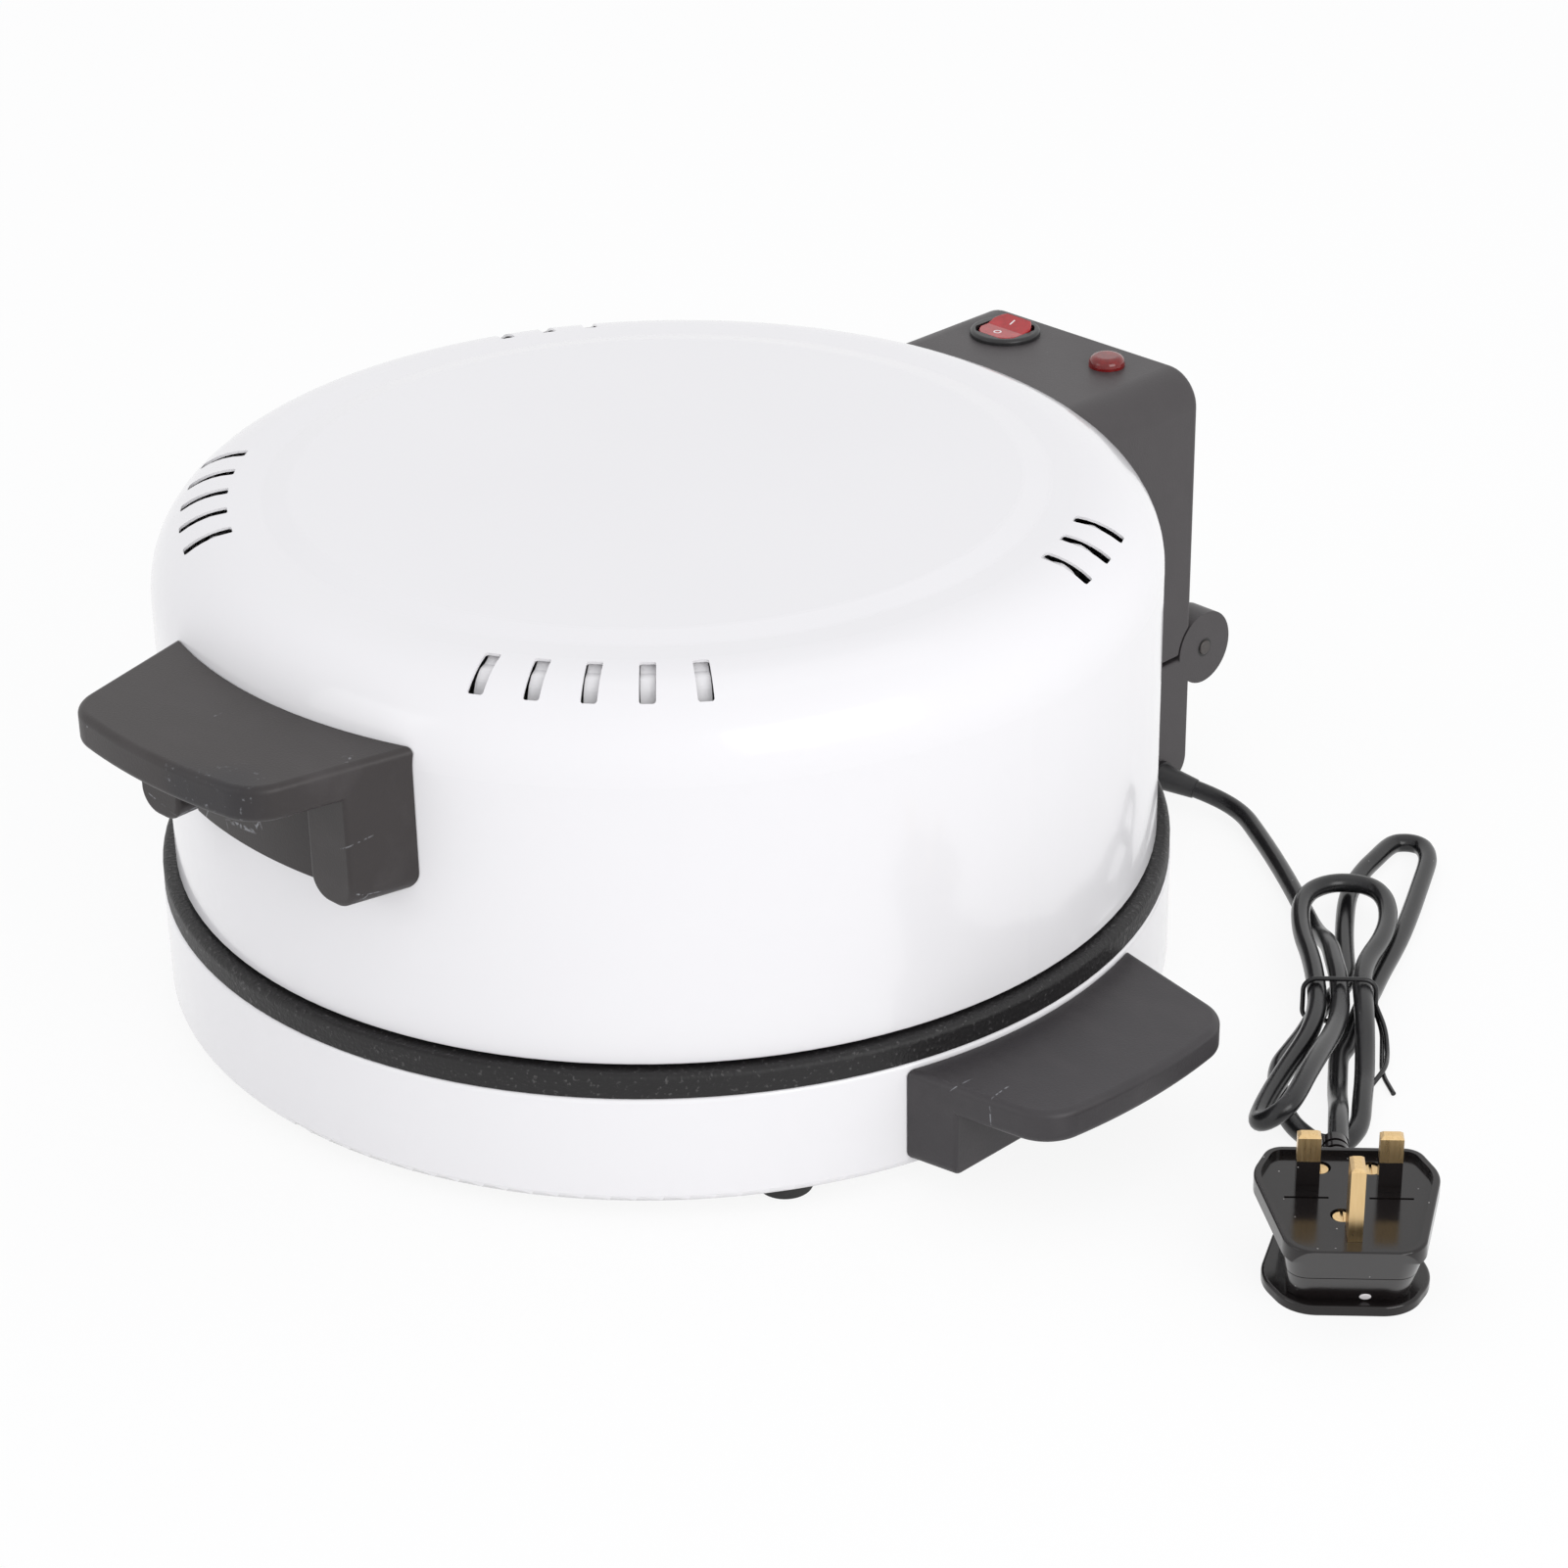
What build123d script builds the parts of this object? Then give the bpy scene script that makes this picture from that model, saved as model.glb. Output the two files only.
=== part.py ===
from build123d import *
import math
import os

# Electric pizza maker: a round base with a baking pan, and a domed lid that is hinged at the back.
# Millimetres. While it is built, the vessel's axis is Z, the lid handle points to -Y and the hinge to +Y.

# Clearances
wall_gap = 0.3
bore_gap = 0.06
seat_gap = 0.1
hinge_gap = 0.4

# The base is the size that the rest follows
base_radius = 156.0

# Lid shell
lid_radius = base_radius - 4.5
lid_wall = 0.8
lid_bottom = 48.2
lid_top = 160.3
lid_corner = 26.0
lid_lip = 6.2
plateau_radius = lid_radius - 42.3
plateau_slope = 8.0
plateau_rise = 1.6

# Vent slots in the lid's shoulder: middle azimuth, number of slots and pitch in degrees
slot_inner = lid_radius - 24.5
slot_outer = lid_radius - 10.0
slot_width = 4.5
slot_round = 0.8
slot_groups = [(-131.8, 5, 6.5), (-50.3, 5, 6.4), (23.2, 3, 6.2), (153.0, 3, 6.2)]

# Lid liner and upper element
liner_radius = lid_radius - 4.7
liner_wall = 0.6
liner_top = 136.0
liner_corner = 20.0
element_tube = 3.25
upper_ring = lid_radius - 51.5
upper_height = 118.0
lead_spacing = 28.0
lead_bend = 10.0
bushing_radius = 5.5
bushing_length = 7.0
bushing_seat = 3.5
clip_width = 10.0
clip_wall = 1.0
clip_azimuths = [-135, -45, 45, 135]

# Base shell, base plate and feet
base_wall = 1.0
base_bottom = 5.3
base_top = 39.8
top_flange = 5.7
bottom_flange = 3.0
plate_wall = 1.0
plate_edge_gap = 0.4
plate_vent_count = 12
plate_vent_radius = base_radius - 68.0
plate_vent_length = 36.0
plate_vent_width = 5.0
foot_radius = 8.75
foot_circle = base_radius - 12.5
foot_azimuths = [-30, -150, 90]
foot_recess = 4.2
foot_recess_depth = 3.0

# Baking pan
pan_radius = base_radius - 0.3
pan_wall = 2.0
pan_floor_bottom = 24.0
pan_floor_wall = 2.5
pan_top = 47.2
pan_floor_radius = base_radius - 15.0
pan_mouth_radius = base_radius - 9.5

# Lower element, reflector and terminals
lower_ring = base_radius - 56.0
lower_gap = 0.4
lower_lead_end = base_radius - 25.0
reflector_radius = base_radius - 30.0
reflector_bottom = 13.0
reflector_wall = 0.8
reflector_rim = 1.6
reflector_post = 4.0
reflector_post_circle = base_radius - 44.0
thermostat_radius = 9.0
terminal_length = 44.0
terminal_depth = 13.0
terminal_reach = base_radius - 22.9

# Handles
handle_corner = 14.0
handle_edge = 2.2
leg_edge = 1.4
lid_handle_reach = lid_radius + 41.7
lid_handle_azimuth = -88.6
lid_handle_root = 49.0
lid_handle_tip = 38.5
lid_handle_top = 140.7
lid_handle_thickness = 10.6
lid_leg_face = lid_radius + 11.5
lid_leg_bottom = 96.0
lid_leg_side = 29.0
lid_leg_round = 7.0
lid_panel_radius = lid_radius + 3.5
lid_panel_bottom = 93.5
base_handle_reach = base_radius + 42.6
base_handle_root = 46.0
base_handle_tip = 38.0
base_handle_top = 37.8
base_handle_thickness = 10.0
base_body_face = base_radius + 9.0
base_body_bottom = 8.0
base_body_round = 3.0

# Screws
screw_radius = 2.0
screw_head_radius = 3.5
screw_head = 2.4
handle_screw_azimuth = 13.3
lid_screw_height = 114.0
base_screw_height = 21.0
handle_screw_depth = 9.0
hinge_screw_azimuth = 10.5
hinge_screw_depth = 11.0
hinge_boss_radius = 4.5
tower_screw_heights = [72.0, 122.0]
base_hinge_screw_height = 20.0
foot_screw_radius = 1.5
foot_screw_head_radius = 3.2
foot_screw_head = 2.0
nut_width = 5.5
nut_height = 2.4

# Hinge: pin axis, lower housing with its two ears, and the tower on the lid
pin_y = base_radius + 44.7
pin_z = 50.5
pin_radius = 2.5
pin_proud = 0.6
hinge_half_width = 48.0
hinge_back = base_radius + 37.5
hinge_wall = 2.5
hinge_edge = 2.2
ear_radius = 12.6
ear_width = 10.0
knuckle_radius = 12.0
ear_clearance = 1.0
lower_housing_bottom = 4.4
lower_housing_top = 50.1
lower_housing_corner = 9.0
tower_bottom = 51.6
tower_top = 150.5
tower_corner = 12.0

# Switch, rocker and pilot lamp on the tower
switch_x = -21.5
switch_y = base_radius + 20.5
switch_bezel_radius = 11.6
switch_bezel_height = 2.0
switch_body_radius = 10.5
switch_well_radius = 9.75
switch_depth = 19.0
rocker_half_width = 8.0
rocker_radius = 7.9
rocker_round = 8.6
rocker_gap = 0.35
rocker_drop = 2.6
rocker_below = 3.0
rocker_angle = 20.0
rocker_pin_radius = 1.1
rocker_pin_length = 1.4
lamp_x = 21.7
lamp_y = base_radius + 22.0
lamp_radius = 5.9
lamp_height = 3.6
lamp_flange = 0.9
lamp_body_radius = 4.0
lamp_body_depth = 14.0

# Cord: a limp round lead that lies on the table, and the hank that it is tied in
cord_diameter = 6.0
cord_rest = 3.1
layer_step = 6.6
waist_step = 6.9
waist_lift = 1.9
waist_run = 16.0
gland_y = hinge_back - 13.9
gland_height = 10.2
gland_radius = 5.2
gland_flange = 1.5
relief_length = 13.0
relief_end_radius = 3.3
relief_turn = 20.0
relief_dip = 11.0
lead_first_run = 8.0
tie_x = 181.5
tie_y = hinge_back - 86.0
hank_azimuth = -48.8
tie_wire = 0.75
tie_gap = 0.35

# Loose ends of the tie: distance from the tie towards the plug, distance across, and height
tie_ends = [
    [(0, 11.0, 5.0), (8, 12.8, 2.4), (18, 12.2, 1.2), (30, 11.4, 1.0), (41, 14.2, 1.0)],
    [(0, 11.0, 7.0), (9, 13.6, 4.0), (19, 13.8, 1.4), (29, 12.6, 2.6), (38, 7.6, 1.2)],
]

# Plug, lying on its back: its own frame has X from the cord to the earth pin, and Y along the other two pins
plug_x = 262.8
plug_y = hinge_back - 186.3
plug_azimuth = -47.5
plug_face = 25.2
plug_rim = 27.0
plug_rim_width = 2.0
plug_flange_bottom = 22.0
plug_split = 14.0
plug_split_gap = 0.3
plug_foot = 3.0
plug_front_foot = 19.4
plug_front_lean = 0.54
plug_waist_half = 16.5
plug_waist_spread = 2.1
plug_waist_round = 6.0
plug_waist_back = -13.0
plug_groove_x = 5.0
plug_groove_y = 11.5
plug_groove_length = 12.0
plug_groove_width = 0.9
plug_groove_depth = 0.6
plug_entry_height = 11.6
plug_relief_start = -12.5
plug_relief_end = -43.5
plug_relief_radius = 5.0
plug_relief_tip = 3.9
pin_row_half = 11.11
earth_offset = 22.23
line_pin = (3.97, 6.35, 17.7)
earth_pin = (7.92, 3.97, 22.7)
sleeve_length = 9.5
sleeve_wall = 0.45
pin_embed = 7.0
pin_tip = 0.9
plug_screw_places = [(-10.0, -7.0), (-10.0, 7.0), (13.4, -2.5)]
plug_screw_radius = 2.5
plug_screw_well = 3.2

# Places worked out from the sizes above
vessel_shift = (lid_handle_reach - pin_y - ear_radius) / 2
lid_inner = lid_radius - lid_wall
base_inner = base_radius - base_wall
liner_inner = liner_radius - liner_wall
ear_inner = hinge_half_width - ear_width
knuckle_half = ear_inner - hinge_gap
plate_bottom = base_bottom + base_wall
plate_top = plate_bottom + plate_wall
reflector_top = reflector_bottom + reflector_wall
lower_height = pan_floor_bottom - lower_gap - clip_wall - element_tube
switch_top = tower_top + switch_bezel_height
rocker_pivot = switch_top - rocker_drop
beyond = 400.0


def outline(corners):
    """Flat face through corners of (x, y, radius), where each corner is rounded by its radius."""
    face = make_face(Polyline(*[(x, y) for x, y, radius in corners], close=True))
    for x, y, radius in corners:
        if radius:
            corner = face.vertices().sort_by_distance((x, y, 0))[0]
            face = fillet(corner, radius)
    return face


def mirrored(half):
    """Closed outline about the X axis from the corners of its left half."""
    return outline(half + [(x, -y, radius) for x, y, radius in reversed(half)])


def turned(corners):
    """Solid of revolution about Z from corners of (radius, height, rounding)."""
    return revolve(Plane.XZ * outline(corners), Axis.Z)


def upright(radius, low, high):
    return Pos(0, 0, (low + high) / 2) * Cylinder(radius, high - low)


def block(x0, x1, y0, y1, z0, z1):
    return Pos((x0 + x1) / 2, (y0 + y1) / 2, (z0 + z1) / 2) * Box(x1 - x0, y1 - y0, z1 - z0)


def rod_x(radius, x0, x1, y, z):
    return Pos((x0 + x1) / 2, y, z) * Rot(0, 90, 0) * Cylinder(radius, x1 - x0)


def radial_rod(radius, start, end, azimuth, z):
    """Rod that points away from the vessel's axis, from one distance to another."""
    return Rot(0, 0, azimuth) * rod_x(radius, start, end, 0, z)


def lid_form(gap):
    """Outer form of the lid, grown by a gap, that the handle and the tower are cut to."""
    return turned([
        (0, lid_bottom - gap - lid_corner, 0),
        (lid_radius + gap, lid_bottom - gap - lid_corner, 0),
        (lid_radius + gap, lid_top + gap, lid_corner + gap),
        (0, lid_top + gap, 0),
    ])


def base_form(gap):
    return upright(base_radius + gap, -lid_corner, lid_bottom + lid_corner)


def save(name, shape):
    export_step(Pos(0, vessel_shift, 0) * shape, f"parts/{name}.step")


# Screws that point outwards through a shell: head inside the shell, shank into the part outside
def radial_screw(shell_inner, depth, azimuth, z):
    head_face = shell_inner - seat_gap
    head = radial_rod(screw_head_radius, head_face - screw_head, head_face, azimuth, z)
    shank = radial_rod(screw_radius, head_face, shell_inner + depth, azimuth, z)
    slot = Rot(0, 0, azimuth) * block(head_face - screw_head - 1, head_face - screw_head + 0.9,
                                      -screw_head_radius, screw_head_radius, z - 0.5, z + 0.5)
    return head + shank - slot


def screw_hole(azimuth, z, depth, shell_inner):
    return radial_rod(screw_radius + bore_gap, shell_inner - screw_head, shell_inner + depth + 1, azimuth, z)


def handle_azimuths(middle):
    return [middle - handle_screw_azimuth, middle + handle_screw_azimuth]


hinge_azimuths = [90 - hinge_screw_azimuth, 90 + hinge_screw_azimuth]


# Lid body
def lid_shell():
    inner_corner = lid_corner - lid_wall
    shell = turned([
        (lid_radius - lid_lip, lid_bottom, 0),
        (lid_radius, lid_bottom, 0.6),
        (lid_radius, lid_top, lid_corner),
        (plateau_radius + plateau_slope, lid_top, 7.0),
        (plateau_radius, lid_top + plateau_rise, 7.0),
        (0, lid_top + plateau_rise, 0),
        (0, lid_top + plateau_rise - lid_wall, 0),
        (plateau_radius, lid_top + plateau_rise - lid_wall, 7.0),
        (plateau_radius + plateau_slope, lid_top - lid_wall, 7.0),
        (lid_inner, lid_top - lid_wall, inner_corner),
        (lid_inner, lid_bottom + lid_wall, 0),
        (lid_radius - lid_lip, lid_bottom + lid_wall, 0),
    ])
    cutter = extrude(RectangleRounded(slot_outer - slot_inner, slot_width, slot_round), lid_corner)
    slots = []
    for middle, count, pitch in slot_groups:
        for index in range(count):
            azimuth = middle + (index - (count - 1) / 2) * pitch
            slots.append(Rot(0, 0, azimuth) * Pos((slot_inner + slot_outer) / 2, 0, lid_top - 18) * cutter)
    azimuths = handle_azimuths(lid_handle_azimuth)
    holes = [screw_hole(a, lid_screw_height, handle_screw_depth, lid_inner) for a in azimuths]
    for height in tower_screw_heights:
        holes += [screw_hole(a, height, hinge_screw_depth, lid_inner) for a in hinge_azimuths]
    return shell - slots - holes


def lid_liner():
    floor = lid_bottom + lid_wall
    liner = turned([
        (liner_inner, floor, 0),
        (liner_radius, floor, 0),
        (liner_radius, liner_top, liner_corner),
        (0, liner_top, 0),
        (0, liner_top - liner_wall, 0),
        (liner_inner, liner_top - liner_wall, liner_corner - liner_wall),
    ])
    return liner - [lead_rod(side, bushing_radius - 1.5 + bore_gap) for side in (-1, 1)]


def lead_rod(side, radius):
    """Rod along one straight end of the upper element, across the liner's wall."""
    x = side * lead_spacing / 2
    return Pos(x, liner_radius, upper_height) * Rot(90, 0, 0) * Cylinder(radius, 4 * bushing_length)


def heating_element(ring_radius, lead_end, height):
    """Tube bent to an open ring, with its two ends bent straight out towards the hinge."""
    half = lead_spacing / 2
    meet = math.sqrt(ring_radius ** 2 - half ** 2)
    start = math.degrees(math.atan2(meet, half))
    ring = CenterArc((0, 0), ring_radius, start, -(180 + 2 * start))
    right = Line((half, lead_end), (half, meet))
    left = Line((-half, meet), (-half, lead_end))
    path = Wire([right.edge(), ring.edge(), left.edge()])
    corners = [v for v in path.vertices() if abs(v.Y - meet) < 0.01]
    path = Pos(0, 0, height) * path.fillet_2d(lead_bend, corners)
    section = Plane(origin=(half, lead_end, height), z_dir=(0, -1, 0)) * Circle(element_tube)
    return sweep(section, path=path)


def upper_element():
    return heating_element(upper_ring, liner_radius + 2.4, upper_height)


def element_bushings():
    half = lead_spacing / 2
    wall_y = math.sqrt(liner_inner ** 2 - half ** 2)
    pair = []
    for side in (-1, 1):
        turn = Rot(90, 0, 0)
        flange = Pos(side * half, wall_y - bushing_seat, upper_height) * turn * Cylinder(bushing_radius, 2.0)
        sleeve = Pos(side * half, wall_y - 0.5, upper_height) * turn * Cylinder(bushing_radius - 1.5, 7.0)
        pair.append(flange + sleeve - lead_rod(side, element_tube + bore_gap))
    return Compound(pair)


def element_clip(ring_radius, low, high, height, azimuth):
    """Collar round the tube with a strap to the sheet above or below it."""
    reach = 2 * element_tube
    room = block(ring_radius - reach, ring_radius + reach, -clip_width / 2, clip_width / 2, -reach, reach)
    collar = Torus(ring_radius, element_tube + clip_wall) & room
    strap = block(-clip_wall, clip_wall, -clip_width / 2, clip_width / 2, low - height, high - height)
    clip = collar + Pos(ring_radius, 0, 0) * strap - Torus(ring_radius, element_tube + bore_gap)
    return Rot(0, 0, azimuth) * Pos(0, 0, height) * clip


def upper_clips():
    low = upper_height + element_tube
    high = liner_top - liner_wall
    return Compound([element_clip(upper_ring, low, high, upper_height, a) for a in clip_azimuths])


def handle_half_width(distance, wall, reach, root, tip):
    """Half of a handle's width at a distance from the axis: it draws in from the wall to the tip."""
    return root - (root - tip) * (distance - wall) / (reach - wall)


def grip(wall, reach, root, tip, top, thickness):
    """Flat grip whose outer edge runs round the vessel, rounded at its corners and edges."""
    inner = lid_radius / 2
    sides = [(d, handle_half_width(d, wall, reach, root, tip), 0) for d in (reach + 1, inner)]
    plan = Circle(reach) & mirrored(sides)
    corners = [v for v in plan.vertices() if v.X > inner + 1]
    plan = fillet(corners, handle_corner)
    slab = Pos(0, 0, top - thickness) * extrude(plan, thickness)
    rims = [e for e in slab.edges() if abs(e.tangent_at(0.5).Z) < 0.1 and e.center().X > inner + 1]
    return fillet(rims, handle_edge)


def handle_leg(plan, face, bottom, top, leg_round):
    """Block under the grip on a plan, rounded at its lower corners and round its outer face."""
    inner = lid_radius / 2
    body = Pos(0, 0, bottom) * extrude(plan, top - bottom) & block(inner, face, -beyond, beyond, bottom, top)
    lower = [e for e in body.edges() if abs(e.tangent_at(0.5).X) > 0.9 and e.center().Z < bottom + 0.01]
    body = fillet(lower, leg_round)
    rims = [e for e in body.edges() if abs(e.center().X - face) < 0.01 and e.center().Z < top - 0.01]
    return fillet(rims, leg_edge)


def lid_handle():
    middle = lid_handle_top - lid_handle_thickness / 2
    sizes = (lid_radius, lid_handle_reach, lid_handle_root, lid_handle_tip)
    slab = grip(*sizes, lid_handle_top, lid_handle_thickness)
    inner = lid_radius / 2
    plan = outline([(inner, lid_leg_side, 0), (lid_handle_reach, lid_leg_side, 0),
                    (lid_handle_reach, lid_handle_tip, 0), (inner, handle_half_width(inner, *sizes), 0)])
    leg = handle_leg(plan, lid_leg_face, lid_leg_bottom, middle, lid_leg_round)
    panel = upright(lid_panel_radius, lid_panel_bottom, middle)
    panel &= block(inner, beyond, -lid_leg_side - 8, lid_leg_side + 8, lid_panel_bottom, middle)
    handle = Rot(0, 0, lid_handle_azimuth) * (slab + leg + mirror(leg, about=Plane.XZ) + panel)
    azimuths = handle_azimuths(lid_handle_azimuth)
    holes = [screw_hole(a, lid_screw_height, handle_screw_depth, lid_inner) for a in azimuths]
    return handle - lid_form(wall_gap) - holes


def base_handle(azimuth):
    middle = base_handle_top - base_handle_thickness / 2
    sizes = (base_radius, base_handle_reach, base_handle_root, base_handle_tip)
    slab = grip(*sizes, base_handle_top, base_handle_thickness)
    plan = mirrored([(d, handle_half_width(d, *sizes), 0) for d in (base_handle_reach, lid_radius / 2)])
    body = handle_leg(plan, base_body_face, base_body_bottom, middle, base_body_round)
    handle = Rot(0, 0, azimuth) * (slab + body)
    azimuths = handle_azimuths(azimuth)
    holes = [screw_hole(a, base_screw_height, handle_screw_depth, base_inner) for a in azimuths]
    return handle - base_form(wall_gap) - holes


def radial_screws(places, shell_inner, depth):
    return Compound([radial_screw(shell_inner, depth, azimuth, z) for azimuth, z in places])


def pin_rod(radius, x0, x1):
    return rod_x(radius, x0, x1, pin_y, pin_z)


def both_ears(radius, inner, outer):
    return [pin_rod(radius, inner, outer), pin_rod(radius, -outer, -inner)]


def hinge_tower():
    half = hinge_half_width
    near = lid_radius / 2
    front = outline([(-half, tower_bottom, 1), (half, tower_bottom, 1),
                     (half, tower_top, tower_corner), (-half, tower_top, tower_corner)])
    tower = extrude(Plane.XZ.offset(-hinge_back) * front, hinge_back - near)
    back_edges = [e for e in tower.edges() if e.center().Y > hinge_back - 0.1]
    tower = fillet(back_edges, hinge_edge)

    inside = half - hinge_wall
    inside_corner = tower_corner - hinge_wall
    room = outline([(-inside, tower_bottom + hinge_wall, 1), (inside, tower_bottom + hinge_wall, 1),
                    (inside, tower_top - hinge_wall, inside_corner),
                    (-inside, tower_top - hinge_wall, inside_corner)])
    cavity = extrude(Plane.XZ.offset(-(hinge_back - hinge_wall)) * room, hinge_back - near)
    cavity -= pin_rod(ear_radius + ear_clearance + hinge_wall, -half, half)
    cavity -= [tower_boss(a, height) for a in hinge_azimuths for height in tower_screw_heights]

    tower = tower - cavity - lid_form(wall_gap)
    tower -= both_ears(ear_radius + ear_clearance, knuckle_half, half + 1)
    tower += pin_rod(knuckle_radius, -knuckle_half, knuckle_half)
    tower -= pin_rod(pin_radius + bore_gap, -half, half)
    tower -= Pos(switch_x, switch_y, tower_top) * Cylinder(switch_body_radius + bore_gap, 3 * hinge_wall)
    tower -= Pos(lamp_x, lamp_y, tower_top) * Cylinder(lamp_body_radius + bore_gap, 3 * hinge_wall)
    for height in tower_screw_heights:
        tower -= [screw_hole(a, height, hinge_screw_depth, lid_inner) for a in hinge_azimuths]
    return tower


def tower_boss(azimuth, z):
    return radial_rod(hinge_boss_radius, lid_inner, hinge_back + hinge_wall, azimuth, z)


def switch_housing():
    bezel = upright(switch_bezel_radius, tower_top, switch_top)
    bezel = fillet(bezel.edges().filter_by(GeomType.CIRCLE).sort_by(Axis.Z)[-1], 1.2)
    body = upright(switch_body_radius, tower_top - switch_depth, tower_top)
    reach = rocker_radius + rocker_gap
    side = rocker_half_width + rocker_gap
    well = block(-side, side, -reach, reach, rocker_pivot - reach, switch_top + 1)
    well &= upright(switch_well_radius, rocker_pivot - reach, switch_top + 1)
    end = side + rocker_pin_length
    pivot = rod_x(rocker_pin_radius + bore_gap, -end, end, 0, rocker_pivot)
    return Pos(switch_x, switch_y, 0) * (bezel + body - well - pivot)


def switch_terminals():
    blade_top = tower_top - switch_depth
    blades = [block(-2.4, 2.4, y - 0.4, y + 0.4, blade_top - 8.0, blade_top) for y in (-5.0, 0.0, 5.0)]
    return Pos(switch_x, switch_y, 0) * Compound(blades)


def switch_rocker():
    """Rocker with two flat faces; at rest the face towards the lid is pressed level."""
    face_height = switch_top - 0.3 - rocker_pivot
    rise = 2 * rocker_radius * math.tan(math.radians(rocker_angle))
    side = outline([(-2 * rocker_radius, -rocker_below, 0), (2 * rocker_radius, -rocker_below, 0),
                    (2 * rocker_radius, face_height + rise, 0), (0, face_height, 0),
                    (-2 * rocker_radius, face_height, 0)])
    side = side & Circle(rocker_radius)
    body = extrude(Plane.YZ.offset(-rocker_half_width) * side, 2 * rocker_half_width)
    body &= upright(rocker_round, -rocker_radius, rocker_radius)
    upper = [e for e in body.edges() if e.center().Z > 0.5 and abs(e.tangent_at(0.5).X) < 0.9]
    body = fillet(upper, 0.5)
    end = rocker_half_width + rocker_pin_length
    return Pos(switch_x, switch_y, rocker_pivot) * (body + rod_x(rocker_pin_radius, -end, end, 0, 0))


def pilot_lamp():
    dome_top = tower_top + lamp_height
    dome = turned([(0, tower_top, 0), (lamp_radius, tower_top, 0), (lamp_radius, tower_top + lamp_flange, 0),
                   (lamp_radius - 0.6, dome_top, 2.4), (0, dome_top, 0)])
    return Pos(lamp_x, lamp_y, 0) * dome


def lamp_body():
    return Pos(lamp_x, lamp_y, 0) * upright(lamp_body_radius, tower_top - lamp_body_depth, tower_top)


# Base body
def base_shell():
    shell = turned([
        (base_radius - bottom_flange, base_bottom, 0),
        (base_radius, base_bottom, 2.6),
        (base_radius, base_top, 1.6),
        (base_radius - top_flange, base_top, 0),
        (base_radius - top_flange, base_top - base_wall, 0),
        (base_inner, base_top - base_wall, 0.6),
        (base_inner, base_bottom + base_wall, 0.3),
        (base_radius - bottom_flange, base_bottom + base_wall, 0),
    ])
    azimuths = handle_azimuths(0) + handle_azimuths(180)
    places = [(a, base_screw_height, handle_screw_depth) for a in azimuths]
    places += [(a, base_hinge_screw_height, hinge_screw_depth) for a in hinge_azimuths]
    return shell - [screw_hole(a, z, depth, base_inner) for a, z, depth in places]


def base_plate():
    plate = upright(base_inner - plate_edge_gap, plate_bottom, plate_top)
    vent = extrude(SlotOverall(plate_vent_length, plate_vent_width), 3 * plate_wall)
    for index in range(plate_vent_count):
        azimuth = (index + 0.5) * 360 / plate_vent_count
        plate -= Rot(0, 0, azimuth) * Pos(plate_vent_radius, 0, plate_bottom - plate_wall) * vent
    return plate - around_feet(upright(foot_screw_radius + bore_gap, 0, plate_top + 1))


def foot_places():
    return [Rot(0, 0, azimuth) * Pos(foot_circle, 0, 0) for azimuth in foot_azimuths]


def around_feet(shape):
    return [place * shape for place in foot_places()]


def feet():
    foot = turned([(0, 0, 0), (foot_radius - 0.8, 0, 0.8), (foot_radius, plate_bottom, 0),
                   (0, plate_bottom, 0)])
    foot -= upright(foot_recess, -1, foot_recess_depth)
    foot -= upright(foot_screw_radius + bore_gap, 0, plate_bottom + 1)
    return Compound(around_feet(foot))


def foot_screws():
    head_low = foot_recess_depth - foot_screw_head
    head = turned([(0, head_low, 0), (foot_screw_head_radius, head_low, 1.2),
                   (foot_screw_head_radius, foot_recess_depth, 0), (0, foot_recess_depth, 0)])
    shank = upright(foot_screw_radius, foot_recess_depth, plate_top + nut_height + 1.2)
    cross = block(-0.5, 0.5, -1.8, 1.8, 0, head_low + 0.8) + block(-1.8, 1.8, -0.5, 0.5, 0, head_low + 0.8)
    return Compound(around_feet(head + shank - cross))


def foot_nuts():
    nut = Pos(0, 0, plate_top) * extrude(RegularPolygon(nut_width / 2, 6, major_radius=False), nut_height)
    return Compound(around_feet(nut - upright(foot_screw_radius + bore_gap, 0, beyond)))


def baking_pan():
    ledge_bottom = pan_top - pan_wall
    floor_top = pan_floor_bottom + pan_floor_wall
    return turned([
        (0, pan_floor_bottom, 0),
        (pan_floor_radius, pan_floor_bottom, 4.0),
        (pan_mouth_radius, ledge_bottom, 0),
        (pan_radius - pan_wall, ledge_bottom, 0),
        (pan_radius - pan_wall, base_top, 0),
        (pan_radius, base_top, 0),
        (pan_radius, pan_top, 1.8),
        (pan_mouth_radius - pan_wall, pan_top, 1.2),
        (pan_floor_radius - pan_wall, floor_top, 3.0),
        (0, floor_top, 0),
    ])


def lower_reflector():
    rim_top = reflector_top + reflector_rim
    dish = turned([
        (0, reflector_bottom, 0),
        (reflector_radius, reflector_bottom, 1.2),
        (reflector_radius, rim_top, 0),
        (reflector_radius - reflector_wall, rim_top, 0),
        (reflector_radius - reflector_wall, reflector_top, 0.4),
        (0, reflector_top, 0),
    ])
    post = Pos(reflector_post_circle, 0, 0) * upright(reflector_post, plate_top, reflector_bottom)
    return dish + [Rot(0, 0, azimuth) * post for azimuth in foot_azimuths]


def lower_element():
    return heating_element(lower_ring, lower_lead_end, lower_height)


def lower_clips():
    high = lower_height - element_tube
    return Compound([element_clip(lower_ring, reflector_top, high, lower_height, a) for a in clip_azimuths])


def thermostat():
    can = upright(thermostat_radius, reflector_top, pan_floor_bottom - lower_gap)
    collar = upright(thermostat_radius + 2.5, reflector_top, reflector_top + 1.2)
    return can + collar


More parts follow.
